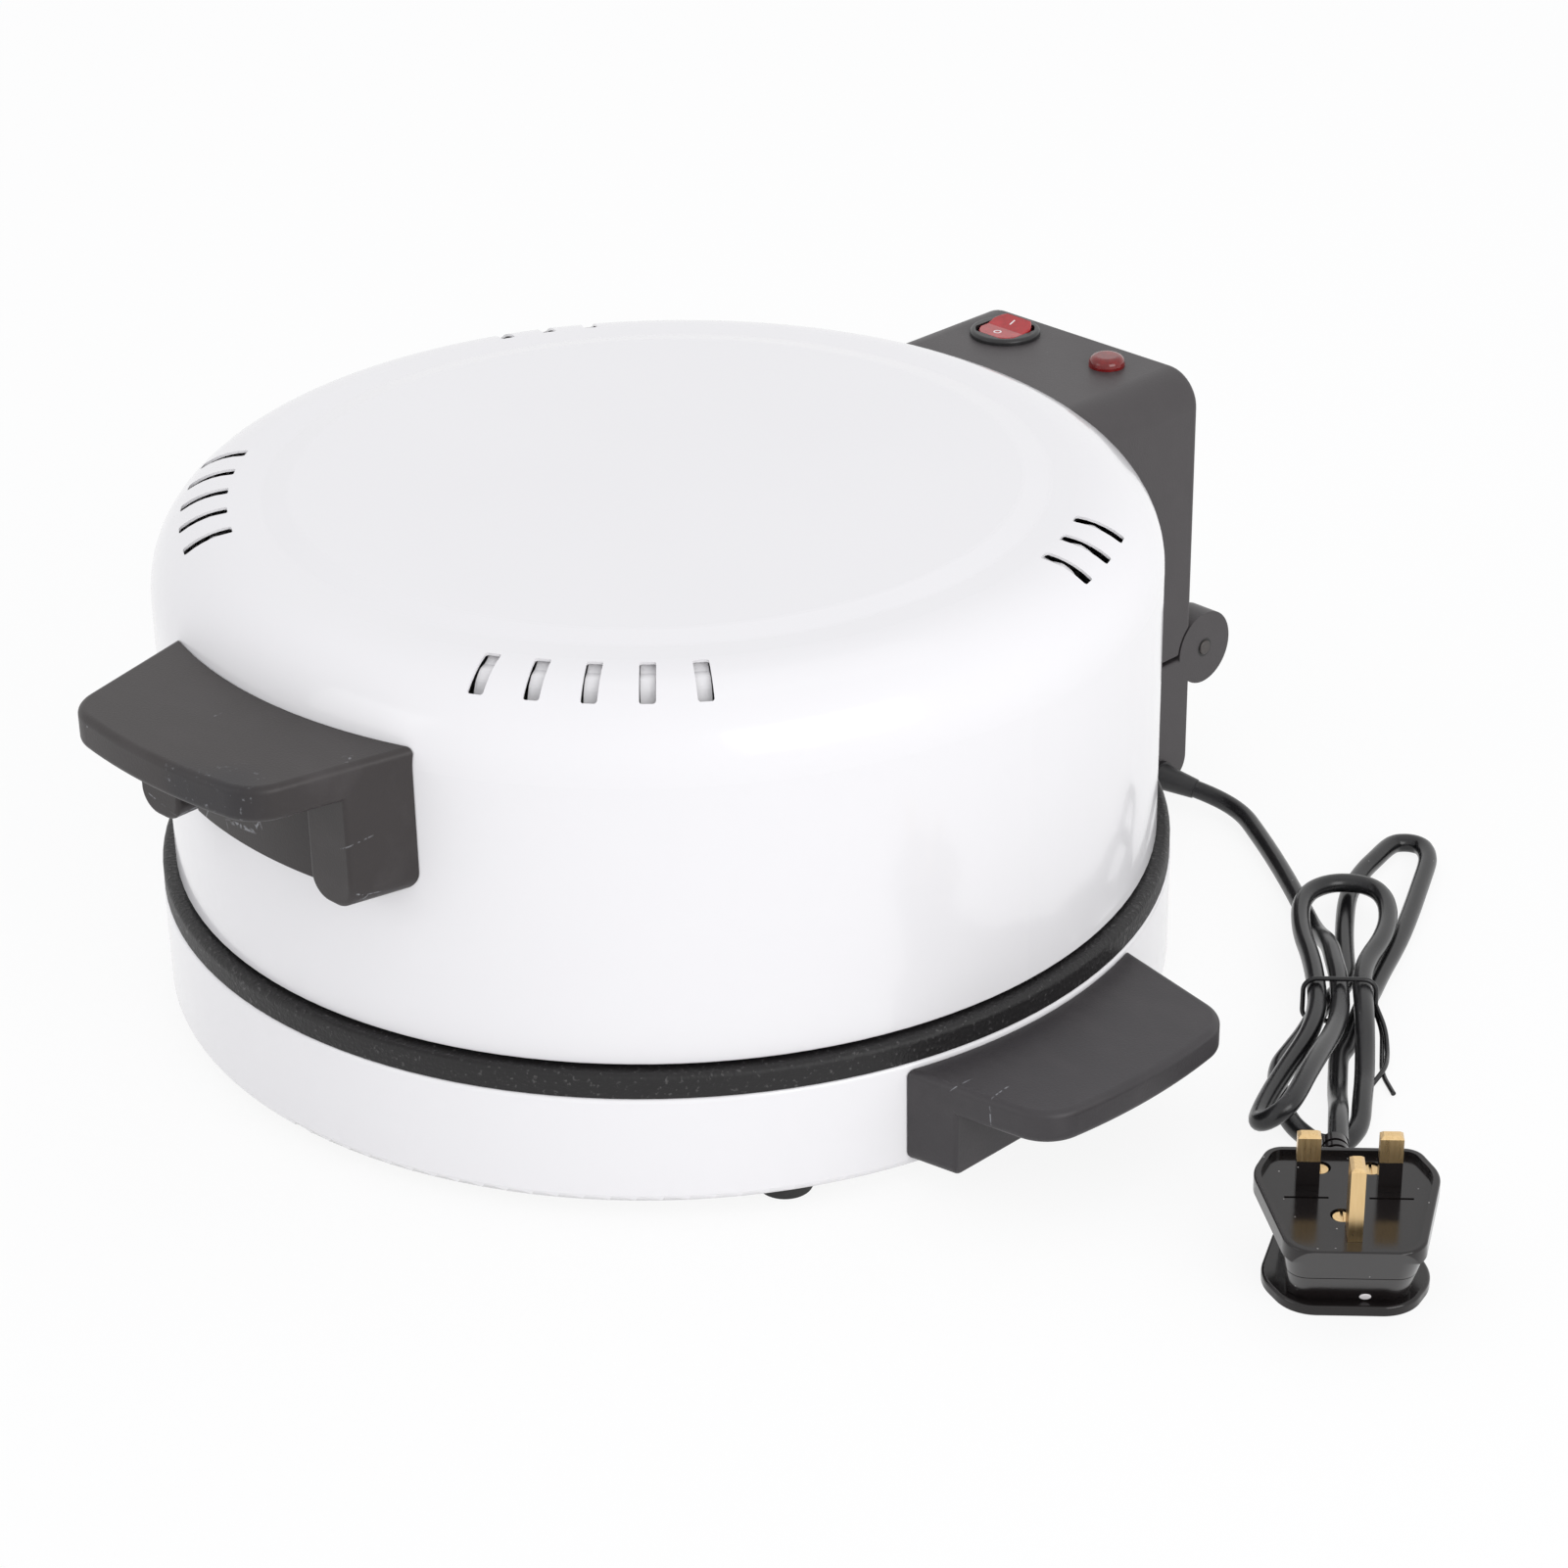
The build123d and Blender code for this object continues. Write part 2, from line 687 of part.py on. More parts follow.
def terminal_block():
    half = terminal_length / 2
    low = terminal_reach - terminal_depth / 2
    high = terminal_reach + terminal_depth / 2
    top = lower_height - element_tube - seat_gap
    ceramic = block(-half, half, low, high, plate_top, top)
    return fillet(ceramic.edges().filter_by(Axis.Z), 2.0)


def hinge_base():
    half = hinge_half_width
    near = base_radius / 2
    side = outline([(near, lower_housing_bottom, 0),
                    (hinge_back, lower_housing_bottom, lower_housing_corner),
                    (hinge_back, lower_housing_top, 1.5), (near, lower_housing_top, 0)])
    housing = extrude(Plane.YZ.offset(-half) * side, 2 * half)
    rims = [e for e in housing.edges() if abs(abs(e.center().X) - half) < 0.01 and e.center().Y > near + 1]
    housing = fillet(rims, 1.2)
    housing += [pin_rod(ear_radius, ear_inner, half), pin_rod(ear_radius, -half, -ear_inner)]

    inside = half - hinge_wall
    room = outline([(near, lower_housing_bottom + hinge_wall, 0),
                    (hinge_back - hinge_wall, lower_housing_bottom + hinge_wall,
                     lower_housing_corner - hinge_wall),
                    (hinge_back - hinge_wall, lower_housing_top - hinge_wall, 0),
                    (near, lower_housing_top - hinge_wall, 0)])
    cavity = extrude(Plane.YZ.offset(-inside) * room, 2 * inside)
    cavity -= pin_rod(ear_radius + ear_clearance + hinge_wall, -half, half)
    cavity -= [lower_boss(a) for a in hinge_azimuths]

    housing = housing - cavity - base_form(wall_gap)
    housing -= pin_rod(knuckle_radius + ear_clearance, -ear_inner, ear_inner)
    housing -= pin_rod(pin_radius + bore_gap, -half, half)
    housing -= rod_x(gland_radius - 1.0 + bore_gap, inside - 1, half + 1, gland_y, gland_height)
    height = base_hinge_screw_height
    return housing - [screw_hole(a, height, hinge_screw_depth, base_inner) for a in hinge_azimuths]


def lower_boss(azimuth):
    end = hinge_back + hinge_wall
    return radial_rod(hinge_boss_radius, base_inner, end, azimuth, base_hinge_screw_height)


def hinge_pin():
    end = hinge_half_width + pin_proud
    pin = pin_rod(pin_radius, -end, end)
    return fillet(pin.edges().filter_by(GeomType.CIRCLE), 0.5)


# Cord: gland and strain relief, free lead, hank, tail, tie and plug
relief_direction = Vector(1, 0, 0).rotate(Axis.Y, relief_dip).rotate(Axis.Z, relief_turn)
gland_face = Vector(hinge_half_width, gland_y, gland_height)
lead_start = gland_face + relief_direction * relief_length


def cord_gland():
    """Gland in the end of the lower housing, with a sleeve that tapers to the cord."""
    neck = rod_x(gland_radius - 1.0, hinge_half_width - hinge_wall, hinge_half_width, gland_y, gland_height)
    flange = rod_x(gland_radius, hinge_half_width, hinge_half_width + gland_flange, gland_y, gland_height)
    length = (lead_start - gland_face).length
    cone = Cone(gland_radius - 0.6, relief_end_radius, length, align=(Align.CENTER, Align.CENTER, Align.MIN))
    sleeve = Plane(origin=gland_face, z_dir=relief_direction) * cone
    outside = block(hinge_half_width, beyond, 0, beyond, 0, beyond)
    return neck + flange + (sleeve & outside)


lead_points = [
    tuple(lead_start),
    tuple(lead_start + relief_direction * lead_first_run),
    (78.8, gland_y + 6.7, 4.5),
    (89.2, gland_y + 1.3, 3.4),
    (103.2, gland_y - 7.4, 3.1),
    (118.5, gland_y - 17.9, 3.1),
    (133.5, gland_y - 28.9, 3.1),
]


def hank_directions(heading):
    """Level directions ahead and to the right, at a heading from the line between tie and plug."""
    angle = math.radians(hank_azimuth + heading)
    return Vector(math.cos(angle), math.sin(angle), 0), Vector(math.sin(angle), -math.cos(angle), 0)


def hank_point(along, across, height):
    ahead, right = hank_directions(0)
    return Vector(tie_x, tie_y, 0) + ahead * along - right * across + Vector(0, 0, height)


def knot(along, across, height, heading):
    return hank_point(along, across, height), hank_directions(heading)[0]


def pass_knot(along, column, height, heading):
    """Where a strand goes through the tie: column counts strands across the bundle."""
    return knot(along, column * waist_step, height, heading)


def low_pass_knots(along, column, heading):
    """A lowest strand through the tie: it leaves the table just before, and is back on it just after."""
    ahead = hank_directions(heading)[0]
    middle = hank_point(along, column * waist_step, cord_rest + waist_lift)
    drop = Vector(0, 0, waist_lift)
    run = ahead * waist_run
    return [(middle - run - drop, ahead), (middle, ahead), (middle + run - drop, ahead)]


def loop_knots(bow_heading, tip_heading, bow, reach, half_width, heights):
    """Widest point going out, tip, and widest point coming back, each with its direction of travel.

    Every loop turns to the right, so that all of them lie the same way."""
    ahead, right = hank_directions(bow_heading)
    ahead_tip, right_tip = hank_directions(tip_heading)
    out_height, tip_height, back_height = heights
    tie = Vector(tie_x, tie_y, 0)
    up = Vector(0, 0, 1)
    out = tie + ahead * bow - right * half_width + up * out_height
    tip = tie + ahead_tip * reach + up * tip_height
    back = tie + ahead * bow + right * half_width + up * back_height
    over = (right_tip * (2 * half_width) + up * (back_height - out_height)).normalized()
    return [(out, ahead), (tip, over), (back, ahead * -1)]


def hank_knots():
    low = cord_rest
    high = cord_rest + layer_step
    high_tie = high + waist_lift
    start = Vector(*lead_points[-1])
    entry = (start - Vector(*lead_points[-2])).normalized()
    climb = (hank_directions(3)[0] + Vector(0, 0, 0.12)).normalized()
    knots = [(start, entry), (start + entry * cord_diameter, entry)]
    knots += [(hank_point(-26, -0.9, high), climb)]
    knots += [pass_knot(0, 0, high_tie, -2)]
    knots += loop_knots(-17.0, -17.0, 73.4, 80.2, 5.2, (high + 8.6, high + 4.3, high))
    knots += [pass_knot(0, -1, high_tie, 180)]
    knots += loop_knots(175.5, 174.2, 42.0, 71.5, 14.0, (high, high, high))
    knots += [pass_knot(0, 1, high_tie, 0)]
    knots += [knot(47, 4.8, low + 1.6, -6), knot(68, 1.2, low + 1.0, -22), knot(73.8, -5.6, low + 0.5, -88)]
    knots += [knot(67.4, -13.6, low, -150), knot(38, -19.7, low, -180)]
    knots += low_pass_knots(0, -0.8, 156)
    knots += [knot(-42, 4.0, low, 178), knot(-86.5, 10.5, low, 160), knot(-104.5, 19.4, low, 152)]
    knots += [knot(-111.2, 26.0, low, 100), knot(-106.0, 33.2, low, 10), knot(-95, 33.0, low, -13)]
    knots += [knot(-54, 23.2, low, -15)]
    knots += low_pass_knots(0, 1, -16)
    end = hank_point(34, -1.8, low)
    leave = (Vector(*tail_points[1]) - Vector(*tail_points[0])).normalized()
    knots += [(end - leave * cord_diameter, leave), (end, leave)]
    return knots


tail_points = [
    tuple(hank_point(34, -1.8, cord_rest)),
    tuple(hank_point(45, -2.5, cord_rest)),
    tuple(hank_point(56, -2.9, 5.9)),
    tuple(hank_point(66, -3.5, 9.7)),
    tuple(hank_point(76, -4.2, 11.4)),
    tuple(hank_point(85, -4.6, plug_entry_height)),
]


def biarc_corners(start, ahead, end, onward):
    """The two corners between two knots, with equal tangent lengths, and the point where the arcs meet."""
    chord = end - start
    both = ahead + onward
    spread = 1 - ahead.dot(onward)
    along = chord.dot(both)
    if spread < 1e-9:
        reach = chord.dot(chord) / (4 * chord.dot(onward))
    else:
        reach = (-along + math.sqrt(along ** 2 + 2 * spread * chord.dot(chord))) / (2 * spread)
    first = start + ahead * reach
    second = end - onward * reach
    return first, second, (first + second) * 0.5


def hank_path():
    """Edges through the knots: straight where two knots share one line, and otherwise two tangent arcs."""
    edges = []
    knots = hank_knots()
    for (start, ahead), (end, onward) in zip(knots, knots[1:]):
        first, second, meet = biarc_corners(start, ahead, end, onward)
        if (end - start).normalized().dot(ahead) > 1 - 1e-9:
            edges.append(Edge.make_line(start, end))
            continue
        middle = (second - first).normalized()
        edges.append(Edge.make_tangent_arc(start, ahead, meet))
        edges.append(Edge.make_tangent_arc(meet, middle, end))
    return edges


def corner_radii(points):
    """Largest tidy radius for each corner of a route: 0.45 of its shorter run."""
    radii = []
    for before, corner, after in zip(points, points[1:], points[2:]):
        run_in = Vector(*corner) - Vector(*before)
        run_out = Vector(*after) - Vector(*corner)
        half_turn = math.radians(run_in.get_angle(run_out)) / 2
        radii.append(0.45 * min(run_in.length, run_out.length) / math.tan(half_turn))
    return radii


def tube_along(path, start, direction):
    section = Plane(origin=start, z_dir=direction) * Circle(cord_diameter / 2)
    return sweep(section, path=path)


def free_stretch(name, points):
    radii = corner_radii(points)
    print(name, "radii", [round(r, 1) for r in radii])
    path = FilletPolyline(*points, radius=radii)
    solid = tube_along(path, points[0], Vector(*points[1]) - Vector(*points[0]))
    report_volume(name, solid, path.length)
    return solid, path.edges()


def report_volume(name, solid, length):
    expected = math.pi * (cord_diameter / 2) ** 2 * length
    ratio = solid.volume / expected
    print(name, "length", round(length, 1), "volume over section times length", round(ratio, 4))


def least_gap(edges):
    """Least distance between the cord's surfaces, among points that are far apart along it."""
    spots = []
    travelled = 0.0
    for edge in edges:
        steps = max(2, int(edge.length / 1.0))
        for step in range(steps):
            spots.append((travelled + edge.length * step / steps, edge.position_at(step / steps)))
        travelled += edge.length
    nearest = beyond
    for index, (distance, spot) in enumerate(spots):
        for other_distance, other in spots[index + 1:]:
            if other_distance - distance > 3 * cord_diameter:
                nearest = min(nearest, (spot - other).length)
    return nearest - cord_diameter


def cord_hank():
    edges = hank_path()
    start, entry = hank_knots()[0]
    solid = tube_along(Wire(edges), start, entry)
    report_volume("cord_hank", solid, sum(edge.length for edge in edges))
    radii = [edge.radius for edge in edges if edge.geom_type == GeomType.CIRCLE]
    print("cord_hank tightest radius", round(min(radii), 2))
    return solid, edges


def twist_tie():
    """Wire loop round the bundle, with two loose ends that lie on the table."""
    reach = cord_diameter / 2 + tie_gap + tie_wire
    half_width = waist_step + reach
    low = cord_rest + waist_lift - reach
    high = cord_rest + waist_lift + layer_step + reach
    across = hank_directions(0)[1] * -1
    plane = Plane(origin=hank_point(0, 0, (low + high) / 2), x_dir=across, z_dir=hank_directions(0)[0] * -1)
    loop = plane * RectangleRounded(2 * half_width, high - low, reach).wire()
    tie = wire_along(loop, loop.position_at(0), loop.tangent_at(0))
    for ends in tie_ends:
        points = [tuple(hank_point(*place)) for place in ends]
        path = FilletPolyline(*points, radius=corner_radii(points))
        tie += wire_along(path, points[0], Vector(*points[1]) - Vector(*points[0]))
    return tie


def wire_along(path, start, direction):
    return sweep(Plane(origin=start, z_dir=direction) * Circle(tie_wire), path=path)


def in_plug(shape):
    towards_earth = Vector(1, 0, 0).rotate(Axis.Z, plug_azimuth)
    return Plane(origin=(plug_x, plug_y, 0), x_dir=towards_earth, z_dir=(0, 0, 1)) * shape


plug_face_half = [(34.0, 17.8, 9.0), (-5.0, 25.9, 14.0), (-18.0, 20.5, 6.0)]
plug_foot_half = [(24.2, 16.0, 12.0), (9.0, 24.0, 16.0), (-14.0, 18.0, 5.0)]


def plug_front(height):
    """Distance of the plug's leaning front face from the line through its other two pins."""
    return plug_front_foot + plug_front_lean * height


def plug_waist_section(height, half_width):
    corners = [(plug_front(height), half_width, plug_waist_round),
               (plug_waist_back, half_width, plug_waist_round)]
    return Pos(0, 0, height) * mirrored(corners)


def plug_waist():
    low = plug_waist_section(plug_foot / 2, plug_waist_half)
    high = plug_waist_section(plug_flange_bottom, plug_waist_half + plug_waist_spread)
    return loft([low, high], ruled=True)


def pin_places():
    return [(0, -pin_row_half, line_pin), (0, pin_row_half, line_pin), (earth_offset, 0, earth_pin)]


def pin_shank(length_x, length_y, gap):
    return (length_x - 2 * sleeve_wall + 2 * gap, length_y - 2 * sleeve_wall + 2 * gap)


def relief_rod(grow):
    cone = Cone(plug_relief_radius + grow, plug_relief_tip + grow, plug_relief_start - plug_relief_end)
    return Pos((plug_relief_start + plug_relief_end) / 2, 0, plug_entry_height) * Rot(0, -90, 0) * cone


def plug_base():
    """Half that carries the pins: flange with a raised rim round the pin face, and the upper waist."""
    flange = Pos(0, 0, plug_flange_bottom) * extrude(mirrored(plug_face_half), plug_rim - plug_flange_bottom)
    top_edges = [e for e in flange.edges() if e.center().Z > plug_rim - 0.01]
    flange = fillet(top_edges, 0.8)
    front = outline([(-beyond, plug_foot, 0), (plug_front(plug_foot), plug_foot, 0),
                     (plug_front(plug_rim + 1), plug_rim + 1, 0), (-beyond, plug_rim + 1, 0)])
    flange &= extrude(Plane.XZ.offset(-beyond) * front, 2 * beyond)
    pocket_outline = offset(mirrored(plug_face_half), -plug_rim_width)
    pocket = Pos(0, 0, plug_face) * extrude(pocket_outline, beyond)
    upper_waist = plug_waist() & block(-beyond, beyond, -beyond, beyond, plug_split, plug_flange_bottom)
    base = flange - pocket + upper_waist
    for x, y, (length_x, length_y, height) in pin_places():
        wide, deep = (length_x, length_y) if height == earth_pin[2] else pin_shank(length_x, length_y, 0)
        seat = Box(wide + 2 * bore_gap, deep + 2 * bore_gap, pin_embed + 1)
        base -= Pos(x, y, plug_face - pin_embed / 2) * seat
    for x, y in plug_screw_places:
        base -= Pos(x, y, plug_face) * Cylinder(plug_screw_well, 5.0)
    for side in (-1, 1):
        groove = Box(plug_groove_width, plug_groove_length, 2 * plug_groove_depth)
        base -= Pos(plug_groove_x, side * plug_groove_y, plug_face) * groove
    base -= relief_rod(seat_gap)
    return in_plug(base)


def plug_cover():
    foot = extrude(mirrored(plug_foot_half), plug_foot)
    foot = fillet([e for e in foot.edges() if e.center().Z > plug_foot - 0.01], 1.0)
    lower_waist = plug_waist() & block(-beyond, beyond, -beyond, beyond, 0, plug_split - plug_split_gap)
    return in_plug(foot + lower_waist - relief_rod(seat_gap))


def plug_relief():
    relief = relief_rod(0)
    for step in range(5):
        place = Pos(plug_relief_end + 4 + 3.4 * step, 0, plug_entry_height) * Rot(0, 90, 0)
        groove = place * (Cylinder(plug_relief_radius + 1, 1.2) - Cylinder(plug_relief_tip - 0.5, 1.2))
        relief -= groove
    return in_plug(relief)


def plug_pins():
    pins = []
    for x, y, (length_x, length_y, height) in pin_places():
        tip = plug_face + height
        head_low = plug_face - pin_embed if height == earth_pin[2] else plug_face + sleeve_length
        head = Pos(x, y, (head_low + tip) / 2) * Box(length_x, length_y, tip - head_low)
        head = chamfer([e for e in head.edges() if e.center().Z > tip - 0.01], pin_tip)
        if height == line_pin[2]:
            wide, deep = pin_shank(length_x, length_y, 0)
            shank = Box(wide, deep, pin_embed + sleeve_length)
            head += Pos(x, y, (plug_face - pin_embed + head_low) / 2) * shank
        pins.append(head)
    return in_plug(Compound(pins))


def pin_sleeves():
    sleeves = []
    for x, y, (length_x, length_y, height) in pin_places()[:2]:
        wide, deep = pin_shank(length_x, length_y, bore_gap / 2)
        sleeve = Box(length_x, length_y, sleeve_length) - Box(wide, deep, sleeve_length)
        sleeves.append(Pos(x, y, plug_face + sleeve_length / 2) * sleeve)
    return in_plug(Compound(sleeves))


def plug_screws():
    screws = []
    for x, y in plug_screw_places:
        head = Pos(x, y, plug_face - 1.5) * Cylinder(plug_screw_radius, 2.0)
        slot = Pos(x, y, plug_face - 0.5) * Box(2 * plug_screw_radius, 0.8, 1.4)
        screws.append(head - slot)
    return in_plug(Compound(screws))


def main():
    os.makedirs("parts", exist_ok=True)

    save("lid_shell", lid_shell())
    save("lid_liner", lid_liner())
    save("upper_element", upper_element())
    save("upper_clips", upper_clips())
    save("element_bushings", element_bushings())
    save("lid_handle", lid_handle())
    lid_screw_places = [(a, lid_screw_height) for a in handle_azimuths(lid_handle_azimuth)]
    save("lid_handle_screws", radial_screws(lid_screw_places, lid_inner, handle_screw_depth))
    save("hinge_tower", hinge_tower())
    tower_screw_places = [(a, z) for a in hinge_azimuths for z in tower_screw_heights]
    save("tower_screws", radial_screws(tower_screw_places, lid_inner, hinge_screw_depth))
    save("switch_housing", switch_housing())
    save("switch_terminals", switch_terminals())
    save("switch_rocker", switch_rocker())
    save("pilot_lamp", pilot_lamp())
    save("lamp_body", lamp_body())

    save("base_shell", base_shell())
    save("base_plate", base_plate())
    save("feet", feet())
    save("foot_screws", foot_screws())
    save("foot_nuts", foot_nuts())
    save("baking_pan", baking_pan())
    save("lower_reflector", lower_reflector())
    save("lower_element", lower_element())
    save("lower_clips", lower_clips())
    save("thermostat", thermostat())
    save("terminal_block", terminal_block())
    save("right_base_handle", base_handle(0))
    save("left_base_handle", base_handle(180))
    base_screw_places = [(a, base_screw_height) for middle in (0, 180) for a in handle_azimuths(middle)]
    save("base_handle_screws", radial_screws(base_screw_places, base_inner, handle_screw_depth))
    save("hinge_base", hinge_base())
    hinge_screw_places = [(a, base_hinge_screw_height) for a in hinge_azimuths]
    save("hinge_base_screws", radial_screws(hinge_screw_places, base_inner, hinge_screw_depth))
    save("hinge_pin", hinge_pin())

    save("cord_gland", cord_gland())
    lead, lead_edges = free_stretch("cord_lead", lead_points)
    save("cord_lead", lead)
    hank, hank_edges = cord_hank()
    save("cord_hank", hank)
    tail, tail_edges = free_stretch("cord_tail", tail_points)
    save("cord_tail", tail)
    edges = list(lead_edges) + list(hank_edges) + list(tail_edges)
    print("cord length", round(sum(e.length for e in edges), 1))
    print("hank least gap to itself", round(least_gap(hank_edges), 2))
    print("cord least gap to itself", round(least_gap(edges), 2))
    save("twist_tie", twist_tie())
    save("plug_base", plug_base())
    save("plug_cover", plug_cover())
    save("plug_relief", plug_relief())
    save("plug_pins", plug_pins())
    save("pin_sleeves", pin_sleeves())
    save("plug_screws", plug_screws())


main()
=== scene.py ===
# %% [markdown]
# # An electric pizza maker
#
# This lesson dresses a packed CAD model of a table-top pizza maker: a round white base with a black baking
# pan, a domed white lid that is hinged at the back, charcoal handles, a switch tower, and a mains cord that
# is tied in a hank. The rigid pieces come from CAD and only need finishes. The soft and the very small
# pieces are made here. We load the model first.

# %% Load the frame
import bmesh
import bpy
import math
from mathutils import Euler, Matrix, Vector


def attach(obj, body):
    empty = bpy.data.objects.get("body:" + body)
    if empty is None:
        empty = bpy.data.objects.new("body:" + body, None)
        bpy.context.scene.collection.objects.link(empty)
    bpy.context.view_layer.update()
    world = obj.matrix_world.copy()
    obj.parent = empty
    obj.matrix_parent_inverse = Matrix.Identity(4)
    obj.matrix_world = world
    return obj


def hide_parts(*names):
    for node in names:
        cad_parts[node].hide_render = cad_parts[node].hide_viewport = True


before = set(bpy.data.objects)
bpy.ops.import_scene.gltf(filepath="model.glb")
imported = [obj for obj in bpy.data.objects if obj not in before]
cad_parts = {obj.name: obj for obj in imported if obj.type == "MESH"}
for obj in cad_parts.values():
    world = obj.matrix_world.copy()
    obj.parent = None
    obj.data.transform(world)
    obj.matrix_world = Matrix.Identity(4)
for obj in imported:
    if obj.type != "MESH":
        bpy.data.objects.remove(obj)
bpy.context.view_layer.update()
MM = 0.001
vessel_axis = Vector((0, -10.05, 0))

# %% [markdown]
# The camera stands in front of the right handle and looks down on the lid. Its place was fitted to the
# ellipses of the lid and the base, so the lens and the place belong together. All places are written in
# millimetres from the vessel's own axis, and `place` turns them into metres in the row frame.

# %% Camera


def place(x, y, z):
    return (Vector((x, y, z)) + vessel_axis) * MM


def aim(position, back, roll):
    """Matrix of a camera at a position whose back points along a direction, turned by a small roll."""
    back = back.normalized()
    right = Vector((0, 0, 1)).cross(back).normalized()
    up = back.cross(right)
    turned_right = right * math.cos(roll) + up * math.sin(roll)
    turned_up = up * math.cos(roll) - right * math.sin(roll)
    turn = Matrix((turned_right, turned_up, back)).transposed().to_4x4()
    return Matrix.Translation(position) @ turn


lens = bpy.data.cameras.new("camera")
lens.sensor_width = 36.0
lens.lens = 90.66
lens.clip_end = 20.0
camera = bpy.data.objects.new("camera", lens)
bpy.context.scene.collection.objects.link(camera)
camera.matrix_world = aim(place(805.2, -728.5, 621.4), Vector((0.6374, -0.6168, 0.4618)), -0.0172)
bpy.context.scene.camera = camera
print("camera", [round(value, 3) for value in camera.location], "lens", lens.lens)

# %% [markdown]
# The cord is one limp round lead, 6 mm thick. It leaves a gland on the right of the hinge, falls to the
# table, runs beside the base and climbs into the hank, where it goes to and fro through the tie, and then
# on into the plug. A cord looks right as one smooth NURBS spline, so we only list the corners of its route.
# The hank's corners are worked out from knots: places on the cord with a direction. Between two knots lie
# two corners at equal distances, and a spline of order 3 rounds them off.

# %% Cord route: the lead from the gland
cord_diameter = 6.0
cord_rest = 3.1
layer_step = 6.6
waist_step = 6.9
waist_lift = 1.9
waist_run = 16.0
hinge_back = 193.5
gland_y = hinge_back - 13.9
gland_face = Vector((48.0, gland_y, 10.2))
relief_length = 13.0
relief_direction = Vector((1, 0, 0))
relief_direction.rotate(Euler((0, math.radians(11.0), math.radians(20.0))))
lead_start = gland_face + relief_direction * relief_length
lead_points = [
    lead_start,
    lead_start + relief_direction * 8.0,
    Vector((78.8, gland_y + 6.7, 4.5)),
    Vector((89.2, gland_y + 1.3, 3.4)),
    Vector((103.2, gland_y - 7.4, 3.1)),
    Vector((118.5, gland_y - 17.9, 3.1)),
    Vector((133.5, gland_y - 28.9, 3.1)),
]
print("lead corners:", len(lead_points))

# %% Cord route: knots of the hank
tie = Vector((181.5, hinge_back - 86.0, 0))
hank_azimuth = -48.8


def directions(heading):
    """Level directions ahead and to the right, at a heading from the line between tie and plug."""
    angle = math.radians(hank_azimuth + heading)
    return Vector((math.cos(angle), math.sin(angle), 0)), Vector((math.sin(angle), -math.cos(angle), 0))


def hank_point(along, across, height):
    ahead, right = directions(0)
    return tie + ahead * along - right * across + Vector((0, 0, height))


def knot(along, across, height, heading):
    return hank_point(along, across, height), directions(heading)[0]


def low_pass_knots(column, heading):
    """A lowest strand through the tie: it leaves the table just before, and is back on it just after."""
    middle, ahead = knot(0, column * waist_step, cord_rest + waist_lift, heading)
    drop = Vector((0, 0, waist_lift))
    before = middle - ahead * waist_run - drop
    after = middle + ahead * waist_run - drop
    return [(before, ahead), (middle, ahead), (after, ahead)]


def loop_knots(bow_heading, tip_heading, bow, reach, half_width, heights):
    """Widest point going out, tip, and widest point coming back."""
    ahead, right = directions(bow_heading)
    ahead_tip, right_tip = directions(tip_heading)
    out_height, tip_height, back_height = heights
    up = Vector((0, 0, 1))
    out = tie + ahead * bow - right * half_width + up * out_height
    tip = tie + ahead_tip * reach + up * tip_height
    back = tie + ahead * bow + right * half_width + up * back_height
    over = (right_tip * (2 * half_width) + up * (back_height - out_height)).normalized()
    return [(out, ahead), (tip, over), (back, -ahead)]


print("tie at", [round(value, 1) for value in tie])

# %% Cord route: through the tie and back, four times
tail_points = [
    hank_point(34, -1.8, cord_rest),
    hank_point(45, -2.5, cord_rest),
    hank_point(56, -2.9, 5.9),
    hank_point(66, -3.5, 9.7),
    hank_point(76, -4.2, 11.4),
    hank_point(85, -4.6, 11.6),
]
low = cord_rest
high = cord_rest + layer_step
high_tie = high + waist_lift
entry = (lead_points[-1] - lead_points[-2]).normalized()
climb = (directions(3)[0] + Vector((0, 0, 0.12))).normalized()
leave = (tail_points[1] - tail_points[0]).normalized()

hank_knots = [(lead_points[-1] + entry * cord_diameter, entry)]
hank_knots += [(hank_point(-26, -0.9, high), climb), knot(0, 0, high_tie, -2)]
hank_knots += loop_knots(-17.0, -17.0, 73.4, 80.2, 5.2, (high + 8.6, high + 4.3, high))
hank_knots += [knot(0, -waist_step, high_tie, 180)]
hank_knots += loop_knots(175.5, 174.2, 55.0, 71.5, 13.6, (high, high, high))
hank_knots += [knot(0, waist_step, high_tie, 0)]
hank_knots += [knot(47, 4.8, low + 1.6, -6), knot(68, 1.2, low + 1.0, -22), knot(73.8, -5.6, low + 0.5, -88)]
hank_knots += [knot(67.4, -13.6, low, -150), knot(38, -19.7, low, -180)]
hank_knots += low_pass_knots(-0.8, 156)
hank_knots += [knot(-42, 4.0, low, 178), knot(-86.5, 10.5, low, 160), knot(-104.5, 19.4, low, 152)]
hank_knots += [knot(-111.2, 26.0, low, 100), knot(-110.2, 30.9, low, 57), knot(-106.0, 33.4, low, 10)]
hank_knots += [knot(-95, 33.0, low, -13)]
hank_knots += [knot(-54, 23.2, low, -15)]
hank_knots += low_pass_knots(1, -16)
hank_knots += [(tail_points[0] - leave * cord_diameter, leave)]
print("knots in the hank:", len(hank_knots))

# %% Cord route: corners between the knots


